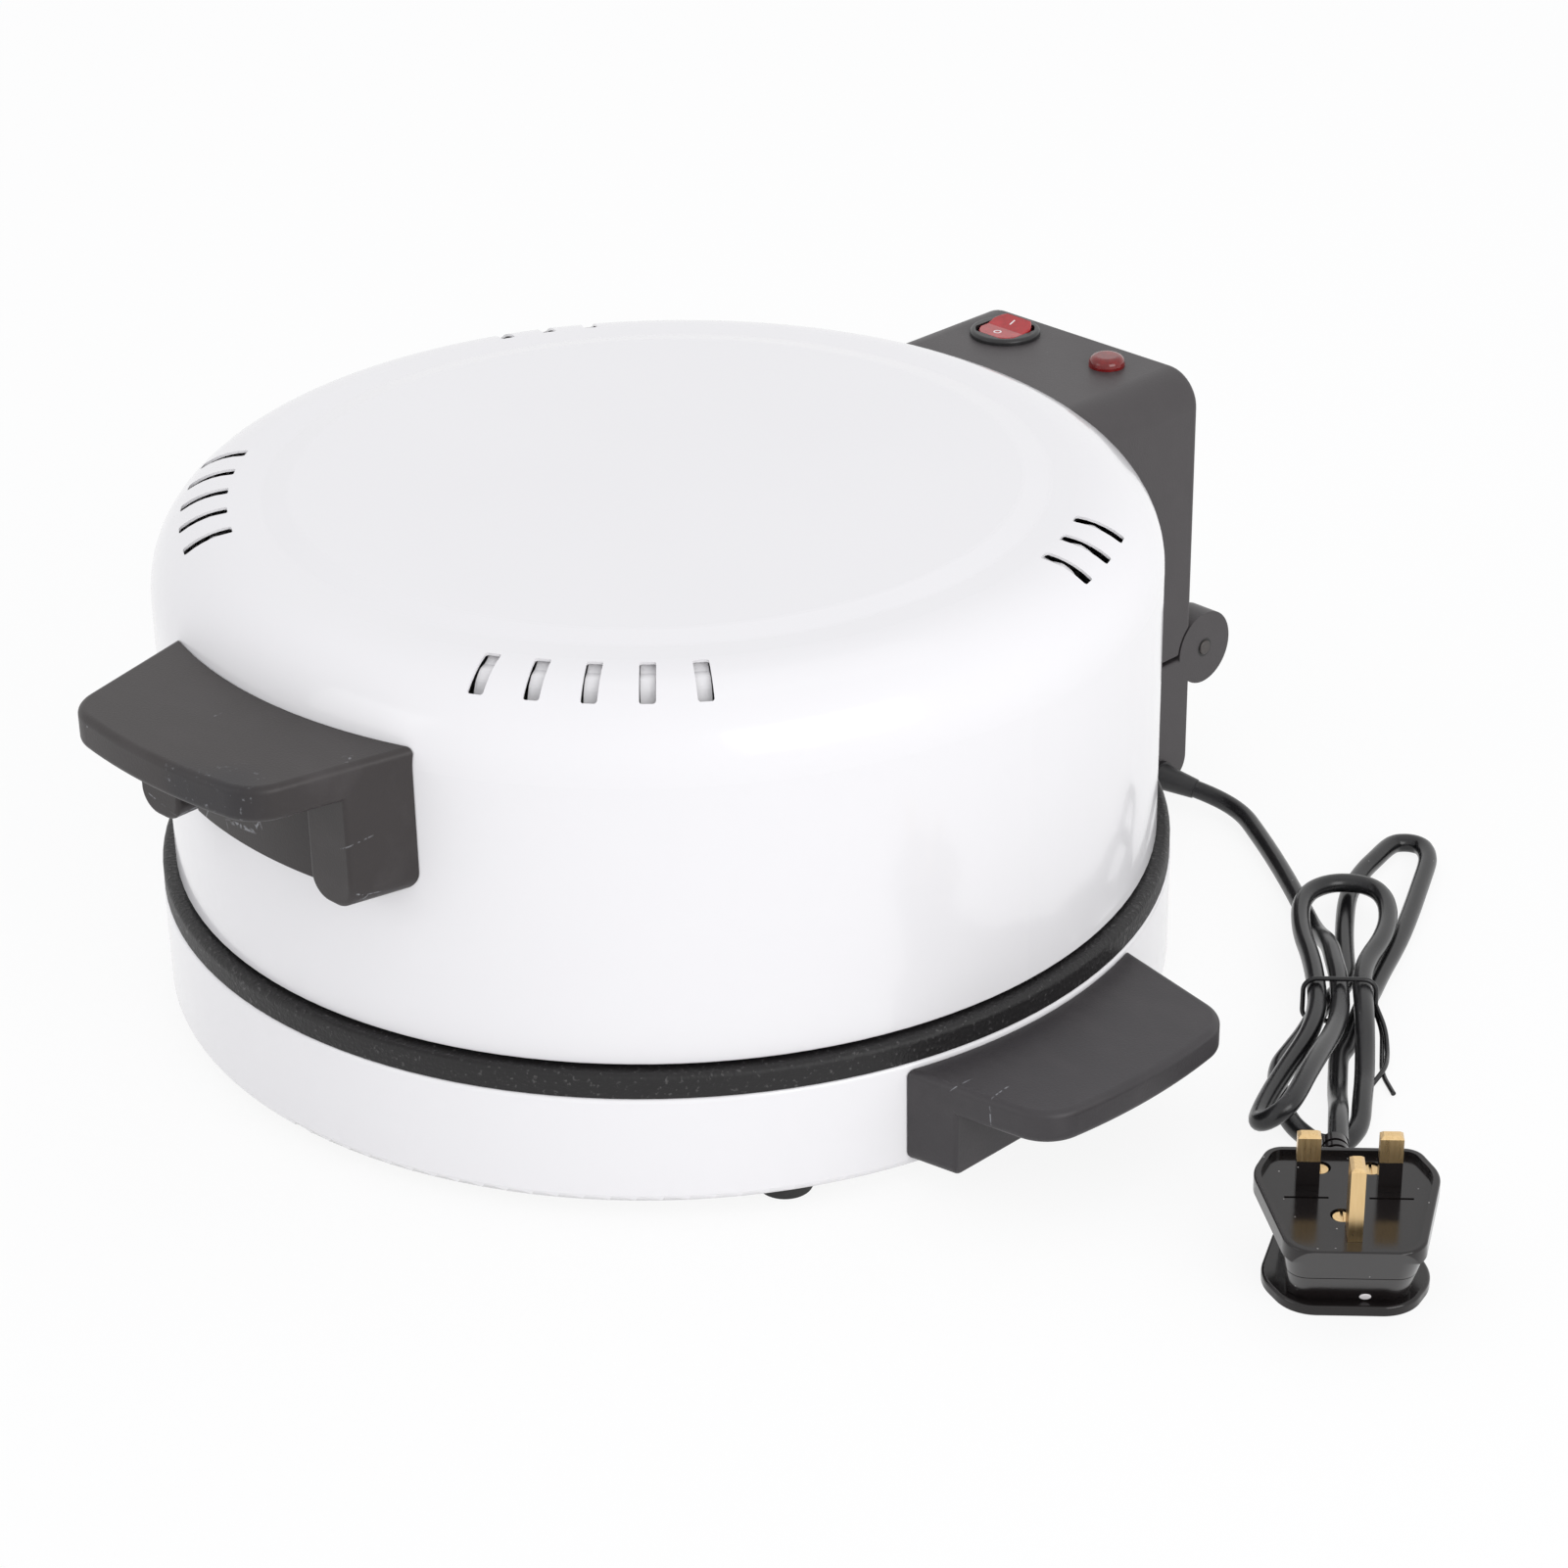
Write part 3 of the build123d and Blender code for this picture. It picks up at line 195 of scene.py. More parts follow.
def corners_between(start, ahead, end, onward):
    """The two corners between two knots, at equal distances along their directions."""
    chord = end - start
    spread = 1 - ahead.dot(onward)
    along = chord.dot(ahead + onward)
    if spread < 1e-9:
        reach = chord.dot(chord) / (4 * chord.dot(onward))
    else:
        reach = (-along + math.sqrt(along ** 2 + 2 * spread * chord.dot(chord))) / (2 * spread)
    return [start + ahead * reach, end - onward * reach]


route = list(lead_points)
for (start, ahead), (end, onward) in zip(hank_knots, hank_knots[1:]):
    if (end - start).normalized().dot(ahead) < 1 - 1e-9:
        route += corners_between(start, ahead, end, onward)
route += tail_points
print("corners of the whole cord:", len(route))

# %% Cord: the spline
cord_line = bpy.data.curves.new("mains_cord", "CURVE")
cord_line.dimensions = "3D"
cord_line.bevel_depth = 1.0
cord_line.bevel_resolution = 6
cord_line.resolution_u = 10
cord_line.use_fill_caps = True
spline = cord_line.splines.new("NURBS")
spline.points.add(len(route) - 1)
for corner, point in zip(route, spline.points):
    point.co = (*place(*corner), 1.0)
    point.radius = cord_diameter / 2 * MM
spline.order_u = 3
spline.use_endpoint_u = True
mains_cord = bpy.data.objects.new("mains_cord", cord_line)
bpy.context.scene.collection.objects.link(mains_cord)
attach(mains_cord, "base")
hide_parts("cord_lead", "cord_hank", "cord_tail")
print("cord of", round(spline.calc_length() / MM), "mm")

# %% [markdown]
# Finishes are node graphs, and graphs are hard to read as lists of links. A small class wraps a socket, so
# that the maths of a mask can be written as a plain expression: each operator adds one Math node.

# %% Shader helpers: a wire


class Wire:
    """An output socket with arithmetic."""

    def __init__(self, finish, socket):
        self.finish = finish
        self.socket = socket

    def math(self, operation, first, second=0.0, clamp=False):
        settings = {"operation": operation, "use_clamp": clamp}
        return self.finish.node("ShaderNodeMath", settings, {0: first, 1: second})

    def __add__(self, other):
        return self.math("ADD", self, other)

    def __sub__(self, other):
        return self.math("SUBTRACT", self, other)

    def __mul__(self, other):
        return self.math("MULTIPLY", self, other)

    def __truediv__(self, other):
        return self.math("DIVIDE", self, other)

    def __rsub__(self, other):
        return self.math("SUBTRACT", other, self)

    __radd__ = __add__

    def above(self, edge, softness):
        """0 below an edge, 1 above it, and a ramp of that softness between."""
        return self.math("ADD", (self - edge) / softness, 0.5, clamp=True)


print("a wire can be added, subtracted, multiplied and divided")

# %% [markdown]
# A second class holds one material. Its `node` method makes every node and returns a wire, and the methods
# after it are the few textures and mixes that the finishes below share. All of them use the Object
# coordinates, so that a finish stays on its piece when the lid turns.

# %% Shader helpers: a finish


class Finish:
    """A material whose shader is fed by expressions."""

    def __init__(self, name, **constants):
        self.material = bpy.data.materials.new(name)
        self.material.use_nodes = True
        self.nodes = self.material.node_tree.nodes
        self.links = self.material.node_tree.links
        self.shader = self.nodes["Principled BSDF"]
        for socket, value in constants.items():
            self.shader.inputs[socket.replace("_", " ")].default_value = value

    def node(self, kind, settings, values, output=0):
        made = self.nodes.new(kind)
        for name, value in settings.items():
            setattr(made, name, value)
        for name, value in values.items():
            self.feed(made.inputs[name], value)
        return Wire(self, made.outputs[output])

    def feed(self, socket, value):
        if isinstance(value, Wire):
            self.links.new(value.socket, socket)
        elif hasattr(value, "__len__") and socket.type == "RGBA":
            socket.default_value = (*value, 1.0)
        else:
            socket.default_value = value

    def surface(self, **wires):
        for socket, value in wires.items():
            self.feed(self.shader.inputs[socket.replace("_", " ")], value)
        return self.material

    def position(self):
        return self.node("ShaderNodeTexCoord", {}, {}, "Object")

    def stretched(self, scale, turn=(0, 0, 0)):
        values = {"Vector": self.position(), "Scale": scale, "Rotation": turn}
        return self.node("ShaderNodeMapping", {}, values)

    def noise(self, scale, detail=2.0, vector=None):
        values = {"Vector": vector or self.position(), "Scale": scale, "Detail": detail}
        return self.node("ShaderNodeTexNoise", {}, values)

    def cells(self, scale, feature="F1", output="Distance", vector=None):
        values = {"Vector": vector or self.position(), "Scale": scale}
        return self.node("ShaderNodeTexVoronoi", {"feature": feature}, values, output)

    def tint(self, mask, dark, light):
        """Colour that goes from one to the other as the mask goes from 0 to 1."""
        values = {0: mask, 6: dark, 7: light}
        return self.node("ShaderNodeMix", {"data_type": "RGBA"}, values, 2)

    def bump(self, height, strength, depth):
        values = {"Height": height, "Strength": strength, "Distance": depth}
        return self.node("ShaderNodeBump", {}, values)

    def near(self, centre, radius, softness):
        """1 close to a place on the piece, and 0 away from it."""
        values = {0: self.position(), 1: centre}
        away = self.node("ShaderNodeVectorMath", {"operation": "DISTANCE"}, values, "Value")
        return 1 - away.above(radius, softness)


print("a finish has", len([name for name in vars(Finish) if not name.startswith("_")]), "methods")

# %% [markdown]
# The lid and the base are drawn sheet with a glossy white stove paint. Such paint has a very faint orange
# peel, and is a touch warmer in some places than in others. The peel is millimetres wide and microns deep,
# so it belongs in a bump and not in the mesh.

# %% White paint


def white_paint():
    finish = Finish("white_paint", IOR=1.5, Coat_Roughness=0.04)
    cloud = finish.noise(9.0, 3.0)
    peel = finish.noise(380.0, 2.0)
    colour = finish.tint(cloud, (0.818, 0.808, 0.820), (0.848, 0.838, 0.847))
    return finish.surface(
        Base_Color=colour,
        Roughness=0.14 + cloud * 0.08,
        Coat_Weight=0.25 + cloud * 0.1,
        Normal=finish.bump(peel, 0.08, 0.00015),
    )


paint = white_paint()
print("made", paint.name)

# %% [markdown]
# The handles and the hinge housings are a heat-proof moulding in charcoal, with a fine spark-eroded grain.
# In use it picks up rub marks, thin scratches and dust. Each of these is a mask that changes the colour a
# little. We first write the two kinds of small marks.

# %% Scratches and dust


def scratches(finish, scale, turn, share):
    """Thin broken lines: edges of long cells, kept only where a slow noise is high."""
    bent = finish.noise(30.0, 2.0)
    lines = finish.cells(scale, "DISTANCE_TO_EDGE", vector=finish.stretched((1.0, 0.3, 1.0), turn))
    kept = finish.noise(38.0, 1.0).above(1.0 - share, 0.03)
    broken = finish.noise(700.0, 1.0).above(0.5, 0.15)
    return (1 - (lines + bent * 0.02).above(0.021, 0.008)) * kept * broken


def dust(finish, scale, size, share):
    """Small pale specks: the middles of cells whose own random value is high."""
    middle = 1 - finish.cells(scale).above(size, 0.02)
    pick = finish.node("ShaderNodeSeparateColor", {}, {"Color": finish.cells(scale, output="Color")})
    return middle * pick.above(1.0 - share, 0.01)


print("marks ready")

# %% [markdown]
# The corner of the lid handle that is knocked most is darkened with a painted shade and has pale scuffs of
# wear, and a painted shadow lies as a dark ring round each end of the hinge pin. Both are masks round a place
# on the piece.
# The housings are a shade paler than the handles.

# %% Charcoal moulding
# Size of the painted shadow ring round each end of the hinge pin.
shade_ring_radius = 3.3
shade_ring_softness = 0.4
pale_mark = (0.42, 0.43, 0.46)
rubbed = (0.09, 0.082, 0.084)
# Colour of the painted shade on the lid handle's corner.
painted_corner_shade = (0.014, 0.014, 0.018)
painted_ring_shade = (0.008, 0.008, 0.008)


def charcoal(name, dark, light, scratched=0.0, shaded_worn_places=(), shaded_pin_ends=()):
    """The moulding, with a share of scratches, painted shade and scuffs at worn places, and painted shadow
    rings round the pin's ends.
    """
    finish = Finish(name, IOR=1.46)
    mottle = finish.noise(26.0, 4.0)
    grain = finish.noise(1500.0, 2.0)
    rub = finish.noise(48.0, 4.0, finish.stretched((1.0, 1.8, 1.3), (0, 0, 0.5))).above(0.62, 0.3)
    marks = dust(finish, 210.0, 0.06, 0.05) * 0.6
    if scratched:
        marks = marks + scratches(finish, 60.0, (0.2, 0.1, 0.9), scratched) * 0.5
    colour = finish.tint(mottle, dark, light)
    colour = finish.tint(rub * 0.25, colour, rubbed)
    # Painted shade: each place darkens the corner towards near-black, and pale scuffs of real wear lie on it.
    for centre, radius in shaded_worn_places:
        corner_shade_and_wear = finish.near(place(*centre), radius * MM, radius * MM)
        chafed = finish.noise(620.0, 5.0).above(0.66, 0.1) * finish.noise(170.0, 2.0).above(0.54, 0.15)
        colour = finish.tint(corner_shade_and_wear * 0.6, colour, painted_corner_shade)
        marks = marks + corner_shade_and_wear * chafed * 0.42
    # Painted shadow: a dark ring round each end of the hinge pin, where the gap round the pin lies in shade.
    for centre in shaded_pin_ends:
        ring_shade_mask = finish.near(place(*centre), shade_ring_radius * MM, shade_ring_softness * MM)
        colour = finish.tint(ring_shade_mask * 0.85, colour, painted_ring_shade)
    colour = finish.tint(marks, colour, pale_mark)
    return finish.surface(
        Base_Color=colour,
        Roughness=0.37 + mottle * 0.1 + rub * 0.06 + grain * 0.06,
        Normal=finish.bump(grain, 0.35, 0.00014),
    )


# Places of the painted shade and of the scuffs on the lid handle's corner.
shaded_scuffed_corner = [((34.0, -188.0, 136.0), 9.0), ((20.0, -192.0, 134.0), 7.0)]
hinge_half_width = 48.0
pin_back = 200.7
pin_height = 50.5
pin_places = [(hinge_half_width, pin_back, pin_height), (-hinge_half_width, pin_back, pin_height)]
housing_plastic = charcoal(
    "charcoal_housing", (0.046, 0.041, 0.043), (0.060, 0.054, 0.056), shaded_pin_ends=pin_places)
base_handle_plastic = charcoal(
    "charcoal_base_handle", (0.030, 0.027, 0.030), (0.043, 0.039, 0.042), scratched=0.33)
lid_handle_plastic = charcoal(
    "charcoal_lid_handle", (0.023, 0.019, 0.019), (0.037, 0.031, 0.031), scratched=0.35,
    shaded_worn_places=shaded_scuffed_corner)
print("made", housing_plastic.name, base_handle_plastic.name, lid_handle_plastic.name)

# %% [markdown]
# The pan has a non-stick coating that was sprayed on over a blasted surface, so it is rough to the touch
# and glitters a little. A coarse bump gives the touch, and the glitter is a painted glint: the tops of the
# grains are painted paler.

# %% Pan coating


def pan_coating():
    finish = Finish("pan_coating", IOR=1.42)
    grit = finish.noise(760.0, 3.0)
    slow = finish.noise(18.0, 2.0)
    # Painted glint: the tops of the grains are painted paler to stand in for glitter.
    painted_glint = grit.above(0.66, 0.1)
    colour = finish.tint(slow, (0.008, 0.0075, 0.008), (0.014, 0.013, 0.0135))
    colour = finish.tint(painted_glint * 0.45, colour, (0.13, 0.125, 0.125))
    return finish.surface(
        Base_Color=colour,
        Roughness=0.42 + slow * 0.12 - painted_glint * 0.12,
        Normal=finish.bump(grit, 0.75, 0.0005),
    )


coating = pan_coating()
print("made", coating.name)

# %% [markdown]
# The cord's sheath and the plug are soft and hard black plastic. Both are glossy. The sheath has the slow
# ripple of an extruded tube and a thin film of dust, and the plug has sharp white dust specks.

# %% Black plastics


def cord_sheath():
    finish = Finish("cord_sheath", IOR=1.5)
    ripple = finish.noise(150.0, 2.0)
    film = finish.noise(42.0, 4.0).above(0.62, 0.3)
    specks = dust(finish, 420.0, 0.1, 0.05)
    colour = finish.tint(film * 0.6, (0.007, 0.007, 0.0078), (0.022, 0.0215, 0.023))
    colour = finish.tint(specks * 0.5, colour, (0.4, 0.4, 0.4))
    return finish.surface(
        Base_Color=colour,
        Roughness=0.22 + film * 0.14,
        Normal=finish.bump(ripple, 0.12, 0.0003),
    )


def plug_plastic():
    finish = Finish("plug_plastic", IOR=1.45)
    slow = finish.noise(60.0, 3.0)
    specks = dust(finish, 520.0, 0.13, 0.09)
    colour = finish.tint(slow, (0.008, 0.0065, 0.0065), (0.014, 0.0115, 0.0115))
    colour = finish.tint(specks * 0.85, colour, (0.5, 0.49, 0.48))
    return finish.surface(
        Base_Color=colour,
        Roughness=0.1 + slow * 0.1 + specks * 0.3,
        Normal=finish.bump(finish.noise(700.0, 2.0), 0.05, 0.0002),
    )


def switch_plastic():
    finish = Finish("switch_plastic", IOR=1.48)
    grain = finish.noise(900.0, 2.0)
    colour = finish.tint(grain, (0.012, 0.012, 0.013), (0.022, 0.021, 0.022))
    return finish.surface(
        Base_Color=colour,
        Roughness=0.3 + grain * 0.1,
        Normal=finish.bump(grain, 0.12, 0.0001),
    )


def foot_rubber():
    finish = Finish("foot_rubber", IOR=1.45)
    grain = finish.noise(600.0, 3.0)
    colour = finish.tint(grain, (0.018, 0.018, 0.018), (0.035, 0.034, 0.033))
    return finish.surface(
        Base_Color=colour,
        Roughness=0.62 + grain * 0.15,
        Normal=finish.bump(grain, 0.25, 0.0002),
    )


sheath = cord_sheath()
plug_black = plug_plastic()
switch_black = switch_plastic()
rubber = foot_rubber()
print("made", sheath.name, plug_black.name, switch_black.name, rubber.name)

# %% [markdown]
# The rocker and the lamp are clear red mouldings. Light goes into them and comes back red, with a bright
# gloss on top. A part of the shader's transmission gives the depth, and a flow pattern keeps it lively.

# %% Red mouldings


def red_moulding(name, deep, bright, through):
    finish = Finish(name, IOR=1.49, Transmission_Weight=through)
    flow = finish.noise(260.0, 3.0)
    facets = finish.cells(700.0)
    colour = finish.tint(flow * 0.7 + facets * 0.3, deep, bright)
    return finish.surface(
        Base_Color=colour,
        Roughness=0.07 + flow * 0.06,
        Coat_Weight=0.1 + flow * 0.2,
    )


rocker_red = red_moulding("rocker_red", (0.32, 0.004, 0.008), (0.70, 0.02, 0.03), 0.25)
lamp_red = red_moulding("lamp_red", (0.12, 0.002, 0.003), (0.42, 0.010, 0.010), 0.35)
print("made", rocker_red.name, lamp_red.name)

# %% [markdown]
# The bare metals differ in colour, in how fine their marks are and in which way they run: rolled aluminium
# for the liner and the reflector, plated steel for screws and clips, brass for the plug's pins, and the
# dull sheath of the heating elements. The ceramic of the bushings takes the same graph, with hardly any
# metal in it.

# %% Metals


def bare_metal(name, dark, light, roughness, grain_scale, stretch, metallic=1.0):
    finish = Finish(name)
    lines = finish.noise(grain_scale, 3.0, finish.stretched(stretch))
    stain = finish.noise(35.0, 4.0)
    colour = finish.tint(lines * 0.6 + stain * 0.4, dark, light)
    return finish.surface(
        Base_Color=colour,
        Metallic=metallic - stain * 0.04,
        Roughness=roughness + lines * 0.12 + stain * 0.06,
        Normal=finish.bump(lines, 0.15, 0.0001),
    )


even = (1.0, 1.0, 1.0)
rolled = (1.0, 1.0, 12.0)
drawn_upwards = (1.0, 1.0, 0.08)
liner_sheet = bare_metal("liner_sheet", (0.60, 0.60, 0.60), (0.76, 0.76, 0.75), 0.32, 300.0, rolled)
plated_steel = bare_metal("plated_steel", (0.42, 0.42, 0.41), (0.62, 0.61, 0.59), 0.28, 900.0, even)
hinge_steel = bare_metal("hinge_steel", (0.06, 0.055, 0.053), (0.13, 0.12, 0.115), 0.34, 900.0, even, 0.75)
sheath_metal = bare_metal("element_sheath", (0.11, 0.105, 0.1), (0.24, 0.23, 0.22), 0.45, 500.0, even, 0.9)
brass = bare_metal("brass", (0.62, 0.40, 0.17), (0.90, 0.68, 0.38), 0.2, 1400.0, drawn_upwards)
ceramic = bare_metal("ceramic", (0.62, 0.59, 0.53), (0.74, 0.71, 0.65), 0.6, 400.0, even, 0.04)
print("made five metals and a ceramic")

# %% [markdown]
# Every CAD node now gets its finish. A node keeps its mesh, so only its material slot changes.

# %% Finishes of the CAD nodes
finishes = {
    "lid_shell": paint, "base_shell": paint, "lid_liner": liner_sheet, "lower_reflector": liner_sheet,
    "upper_element": sheath_metal, "lower_element": sheath_metal,
    "upper_clips": plated_steel, "lower_clips": plated_steel, "base_plate": plated_steel,
    "lid_handle_screws": plated_steel, "tower_screws": plated_steel, "base_handle_screws": plated_steel,
    "hinge_base_screws": plated_steel, "foot_screws": plated_steel, "foot_nuts": plated_steel,
    "hinge_pin": hinge_steel, "thermostat": liner_sheet,
    "element_bushings": ceramic, "terminal_block": ceramic,
    "lid_handle": lid_handle_plastic, "right_base_handle": base_handle_plastic,
    "left_base_handle": base_handle_plastic, "hinge_tower": housing_plastic, "hinge_base": housing_plastic,
    "switch_housing": switch_black, "lamp_body": switch_black, "cord_gland": switch_black,
    "switch_terminals": brass, "switch_rocker": rocker_red, "pilot_lamp": lamp_red, "baking_pan": coating,
    "feet": rubber, "twist_tie": sheath, "plug_base": plug_black, "plug_cover": plug_black,
    "plug_relief": plug_black, "pin_sleeves": plug_black, "plug_pins": brass, "plug_screws": brass,
}


def dress(piece, material):
    piece.data.materials.clear()
    piece.data.materials.append(material)


for name, material in finishes.items():
    dress(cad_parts[name], material)
dress(mains_cord, sheath)
bare = sorted(set(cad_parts) - set(finishes) - {"cord_lead", "cord_hank", "cord_tail"})
print("nodes with a finish:", len(finishes), "without:", bare)

# %% [markdown]
# The vent slots of the lid are lanced, not punched out: three sides of each slot are cut, and the tongue
# stays on at its inner end and is pressed down into the lid. Through the slot one sees the white tongue in
# its own shade, with a dark gap beside it. How deep a tongue lies under the sheet is given for a few places
# along it, from its root at the inner end to its free end.

# %% Depth of a vent tongue
lid_top = 160.3
lid_corner = 26.0
shoulder_radius = 151.5 - lid_corner
slot_inner = 127.0
slot_length = 14.2
tongue_width = 4.2
tongue_wall = 0.7
end_narrowing = 0.12
tongue_depths = [(-0.16, 0.78), (0.0, 2.0), (0.15, 2.3), (0.4, 1.6), (0.65, 2.2), (0.85, 3.5), (1.0, 4.3)]
slot_groups = [(-131.8, 5, 6.5), (-50.3, 5, 6.4), (23.2, 3, 6.2), (153.0, 3, 6.2)]


def depth_at(share):
    """Depth of the tongue under the sheet, between the places in the list."""
    for (before, shallow), (after, deep) in zip(tongue_depths, tongue_depths[1:]):
        if share <= after:
            return shallow + (deep - shallow) * (share - before) / (after - before)
    return tongue_depths[-1][1]


print("depths:", [round(depth_at(share / 4), 2) for share in range(5)])

# %% [markdown]
# Every piece that is made here is drawn in millimetres from the vessel's axis. One function turns such a
# shape into an object, and says which body carries it and which material slot it has.

# %% Piece maker


def new_piece(name, shape, material, body):
    """Mesh object at the origin from a bmesh in millimetres, with its finish, its body and its slot."""
    to_metres = Matrix.Scale(MM, 4) @ Matrix.Translation(vessel_axis)
    bmesh.ops.transform(shape, matrix=to_metres, verts=shape.verts)
    bmesh.ops.recalc_face_normals(shape, faces=shape.faces)
    mesh = bpy.data.meshes.new(name)
    shape.to_mesh(mesh)
    shape.free()
    piece = bpy.data.objects.new(name, mesh)
    bpy.context.scene.collection.objects.link(piece)
    mesh.materials.append(material)
    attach(piece, body)
    return piece


print("piece maker ready")

# %% [markdown]
# A tongue starts as a strip of a grid that lies along the slot and follows the round of the shoulder. It is
# turned to its place, and solidify gives all tongues the sheet's wall.

# %% Vent tongues


def tongue(shape, azimuth):
    """One tongue, added to the shape."""
    made = bmesh.ops.create_grid(shape, x_segments=18, y_segments=2, size=0.5)["verts"]
    first = tongue_depths[0][0]
    for vert in made:
        share = first + (vert.co.x + 0.5) * (1 - first)
        radius = slot_inner + share * slot_length
        slope = math.asin(max(radius - shoulder_radius, 0.0) / lid_corner)
        depth = lid_corner - depth_at(share)
        level = min(radius - shoulder_radius, 0.0)
        narrow = 1 - end_narrowing * max(share, 0.0) ** 6
        vert.co = (shoulder_radius + level + depth * math.sin(slope), vert.co.y * tongue_width * narrow,
                   lid_top - lid_corner + depth * math.cos(slope))
    bmesh.ops.rotate(shape, verts=made, matrix=Matrix.Rotation(math.radians(azimuth), 3, "Z"))


tongues = bmesh.new()
for middle, count, pitch in slot_groups:
    for index in range(count):
        tongue(tongues, middle + (index - (count - 1) / 2) * pitch)
bmesh.ops.recalc_face_normals(tongues, faces=tongues.faces)
bmesh.ops.solidify(tongues, geom=tongues.faces[:], thickness=tongue_wall)
vent_tongues = new_piece("vent_tongues", tongues, paint, "lid")
print("vent tongues:", sum(count for _, count, _ in slot_groups), "faces:", len(vent_tongues.data.polygons))

# %% [markdown]
# The rocker carries two generic marks, a bar for on and a ring for off. They are moulded in white, so they
# are thin solids that stand a hair above the two flat faces, and they move with the rocker.

# %% Rocker marks
rocker_x = -21.5
rocker_y = 176.5
rocker_pivot = 149.9
face_height = 2.3
rocker_angle = math.radians(20.0)
mark_height = 0.12
mark_reach = 3.7
bar_width = 0.55
bar_length = 2.5
bar_edge = 0.04
ring_radius = 1.35
ring_hole = 0.68
ring_lift = 0.05


def white_ink():
    finish = Finish("white_ink")
    wear = finish.noise(500.0, 3.0)
    colour = finish.tint(wear, (0.78, 0.74, 0.74), (0.9, 0.88, 0.88))
    return finish.surface(Base_Color=colour, Roughness=0.35 + wear * 0.15)


ink = white_ink()
print("made", ink.name)

# %% The bar for on
bar = bmesh.new()
bmesh.ops.create_cube(bar, size=1.0)
bmesh.ops.scale(bar, vec=(bar_width, bar_length, mark_height), verts=bar.verts)
bmesh.ops.bevel(bar, geom=bar.edges[:], offset=bar_edge, segments=1, profile=0.5, affect="EDGES", material=-1)
bmesh.ops.translate(bar, vec=(0, mark_reach, 0), verts=bar.verts)
bmesh.ops.rotate(bar, verts=bar.verts, matrix=Matrix.Rotation(rocker_angle, 3, "X"))
bmesh.ops.translate(bar, vec=(rocker_x, rocker_y, rocker_pivot + face_height), verts=bar.verts)
on_mark = new_piece("on_mark", bar, ink, "rocker")
print("bar faces:", len(on_mark.data.polygons))

# %% The ring for off
ring = bmesh.new()
bmesh.ops.create_circle(ring, cap_ends=False, segments=32, radius=ring_radius)
inner = bmesh.ops.extrude_edge_only(ring, edges=ring.edges[:])
inner_verts = [item for item in inner["geom"] if isinstance(item, bmesh.types.BMVert)]
bmesh.ops.scale(ring, vec=(ring_hole, ring_hole, 1.0), verts=inner_verts)
bmesh.ops.solidify(ring, geom=ring.faces[:], thickness=mark_height)
ring_place = (rocker_x, rocker_y - mark_reach, rocker_pivot + face_height + ring_lift)
bmesh.ops.translate(ring, vec=ring_place, verts=ring.verts)
off_mark = new_piece("off_mark", ring, ink, "rocker")
print("ring faces:", len(off_mark.data.polygons))

# %% [markdown]
# On the near side of the plug, low down, is a small round white paint dot. It lies on a face that leans
# outwards, so it is made flat, tilted to that face and then turned with the plug.

# %% Paint dot on the plug
plug_place = Vector((262.8, hinge_back - 186.3, 0))
plug_turn = Matrix.Rotation(math.radians(-47.5), 3, "Z")
front_foot = 19.4
front_lean = 0.54
dot_height = 4.8
dot_across = 4.1
dot_lift = 0.04
dot_tilt = Matrix.Rotation(math.pi / 2 + math.atan(front_lean), 3, "Y")
dot_place = (front_foot + front_lean * dot_height + dot_lift, dot_across, dot_height)
dot = bmesh.new()
bmesh.ops.create_cone(dot, cap_ends=True, segments=32, radius1=1.65, radius2=1.5, depth=0.14)
bmesh.ops.rotate(dot, verts=dot.verts, matrix=dot_tilt)
bmesh.ops.translate(dot, vec=dot_place, verts=dot.verts)
bmesh.ops.rotate(dot, verts=dot.verts, matrix=plug_turn)
bmesh.ops.translate(dot, vec=plug_place, verts=dot.verts)
paint_dot = new_piece("paint_dot", dot, ink, "base")
print("dot faces:", len(paint_dot.data.polygons))

# %% [markdown]
# The stage is a pale floor under a white sky. The floor and the world are plain white to the camera and in
# reflections, which the Light Path node allows, and light the object at a plain level. The floor keeps a
# part of its own shading, so that the shadow stays.

# %% Floor
floor_glow = 0.88
floor_half = 4.0


def white_to_the_eye(tree):
    """Socket that is 1 for rays from the camera and for rays that were mirrored or went through glass."""
    rays = tree.nodes.new("ShaderNodeLightPath")
    first = tree.nodes.new("ShaderNodeMath")
    second = tree.nodes.new("ShaderNodeMath")
    first.operation = second.operation = "MAXIMUM"
    tree.links.new(rays.outputs["Is Camera Ray"], first.inputs[0])
    tree.links.new(rays.outputs["Is Glossy Ray"], first.inputs[1])
    tree.links.new(first.outputs[0], second.inputs[0])
    tree.links.new(rays.outputs["Is Transmission Ray"], second.inputs[1])
    return second.outputs[0]


def floor_material():
    finish = Finish("pale_floor", Roughness=0.9, IOR=1.1)
    finish.surface(Base_Color=(0.93, 0.93, 0.93))
    tree = finish.material.node_tree
    glow = tree.nodes.new("ShaderNodeEmission")
    mix = tree.nodes.new("ShaderNodeMixShader")
    part = tree.nodes.new("ShaderNodeMath")
    part.operation = "MULTIPLY"
    part.inputs[1].default_value = floor_glow
    tree.links.new(white_to_the_eye(tree), part.inputs[0])
    tree.links.new(part.outputs[0], mix.inputs[0])
    tree.links.new(finish.shader.outputs[0], mix.inputs[1])
    tree.links.new(glow.outputs[0], mix.inputs[2])
    tree.links.new(mix.outputs[0], tree.nodes["Material Output"].inputs["Surface"])
    return finish.material


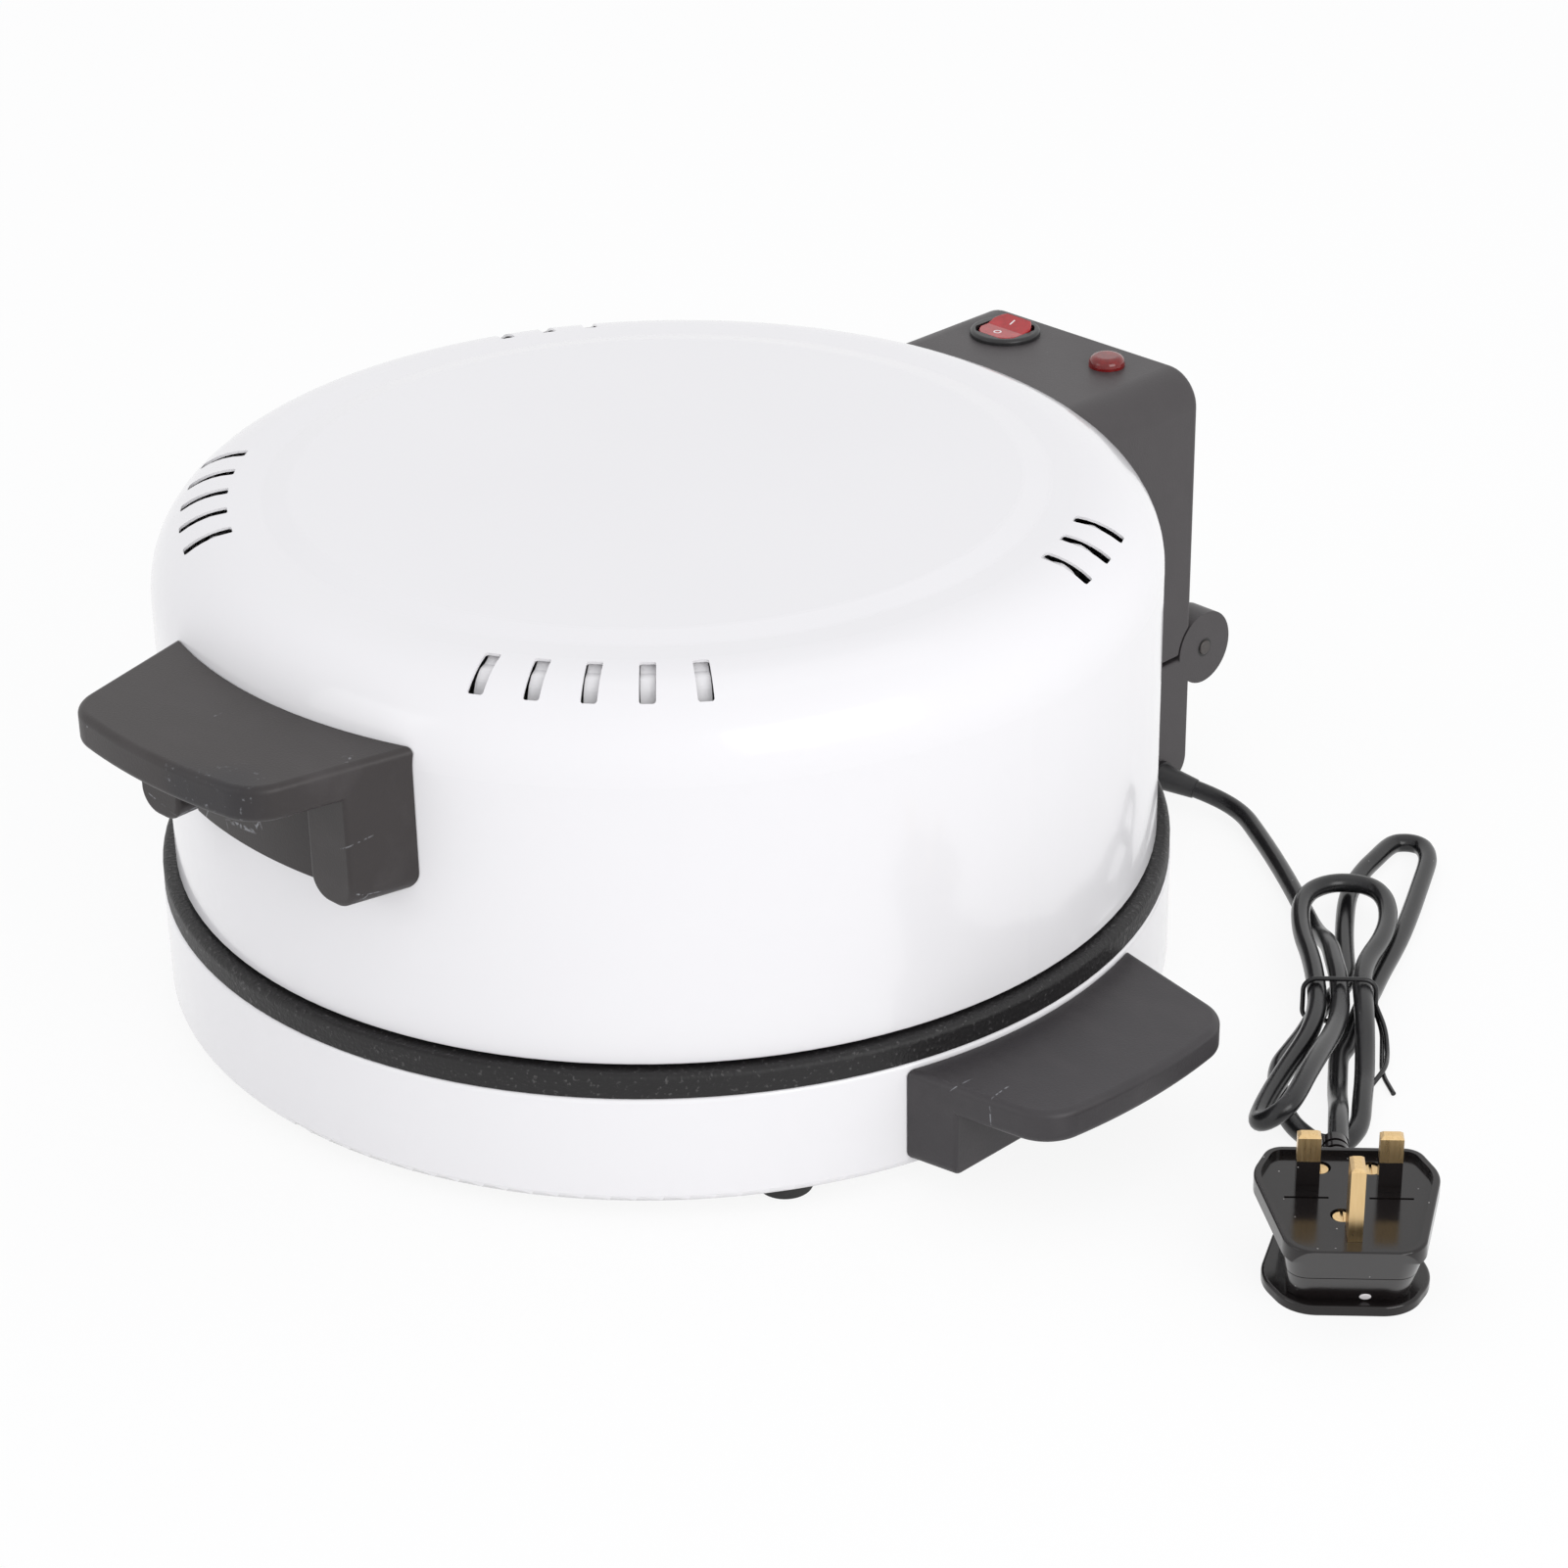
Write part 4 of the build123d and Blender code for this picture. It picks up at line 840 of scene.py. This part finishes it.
ground = bmesh.new()
bmesh.ops.create_grid(ground, x_segments=1, y_segments=1, size=floor_half)
ground_mesh = bpy.data.meshes.new("floor")
ground.to_mesh(ground_mesh)
ground.free()
floor = bpy.data.objects.new("floor", ground_mesh)
bpy.context.scene.collection.objects.link(floor)
ground_mesh.materials.append(floor_material())
print("floor of", 2 * floor_half, "m")

# %% World
sky_strength = 0.86
sky = bpy.data.worlds.new("white_sky")
bpy.context.scene.world = sky
sky.use_nodes = True
sky_nodes = sky.node_tree.nodes
plain = sky_nodes["Background"]
plain.inputs["Color"].default_value = (0.97, 0.975, 1.0, 1.0)
plain.inputs["Strength"].default_value = sky_strength
seen = sky_nodes.new("ShaderNodeBackground")
seen.inputs["Strength"].default_value = 1.0
seen.inputs["Color"].default_value = (1.0, 1.0, 1.0, 1.0)
choose = sky_nodes.new("ShaderNodeMixShader")
sky.node_tree.links.new(white_to_the_eye(sky.node_tree), choose.inputs[0])
sky.node_tree.links.new(plain.outputs[0], choose.inputs[1])
sky.node_tree.links.new(seen.outputs[0], choose.inputs[2])
sky.node_tree.links.new(choose.outputs[0], sky_nodes["World Output"].inputs["Surface"])
bpy.context.scene.view_settings.view_transform = "Standard"
print("sky strength:", sky_strength)

# %% [markdown]
# A large soft lamp on the right, a smaller one on the left and a weak one above give the slow change of tone
# round the lid and the soft light on its shoulder.

# %% Lamps


def soft_lamp(name, position, target, width, height, watts):
    light = bpy.data.lights.new(name, "AREA")
    light.shape = "RECTANGLE"
    light.size = width
    light.size_y = height
    light.energy = watts
    lamp = bpy.data.objects.new(name, light)
    bpy.context.scene.collection.objects.link(lamp)
    lamp.location = position
    lamp.rotation_euler = (Vector(position) - Vector(target)).to_track_quat("Z", "Y").to_euler()


soft_lamp("right_softbox", (1.9, -0.25, 0.95), (0.05, 0.0, 0.08), width=1.3, height=1.0, watts=13.0)
soft_lamp("left_softbox", (-0.6, -1.8, 0.8), (0.0, 0.0, 0.1), width=0.9, height=0.9, watts=2.5)
soft_lamp("top_softbox", (0.1, 0.5, 2.0), (0.0, 0.0, 0.1), width=1.2, height=1.2, watts=1.0)

# %% [markdown]
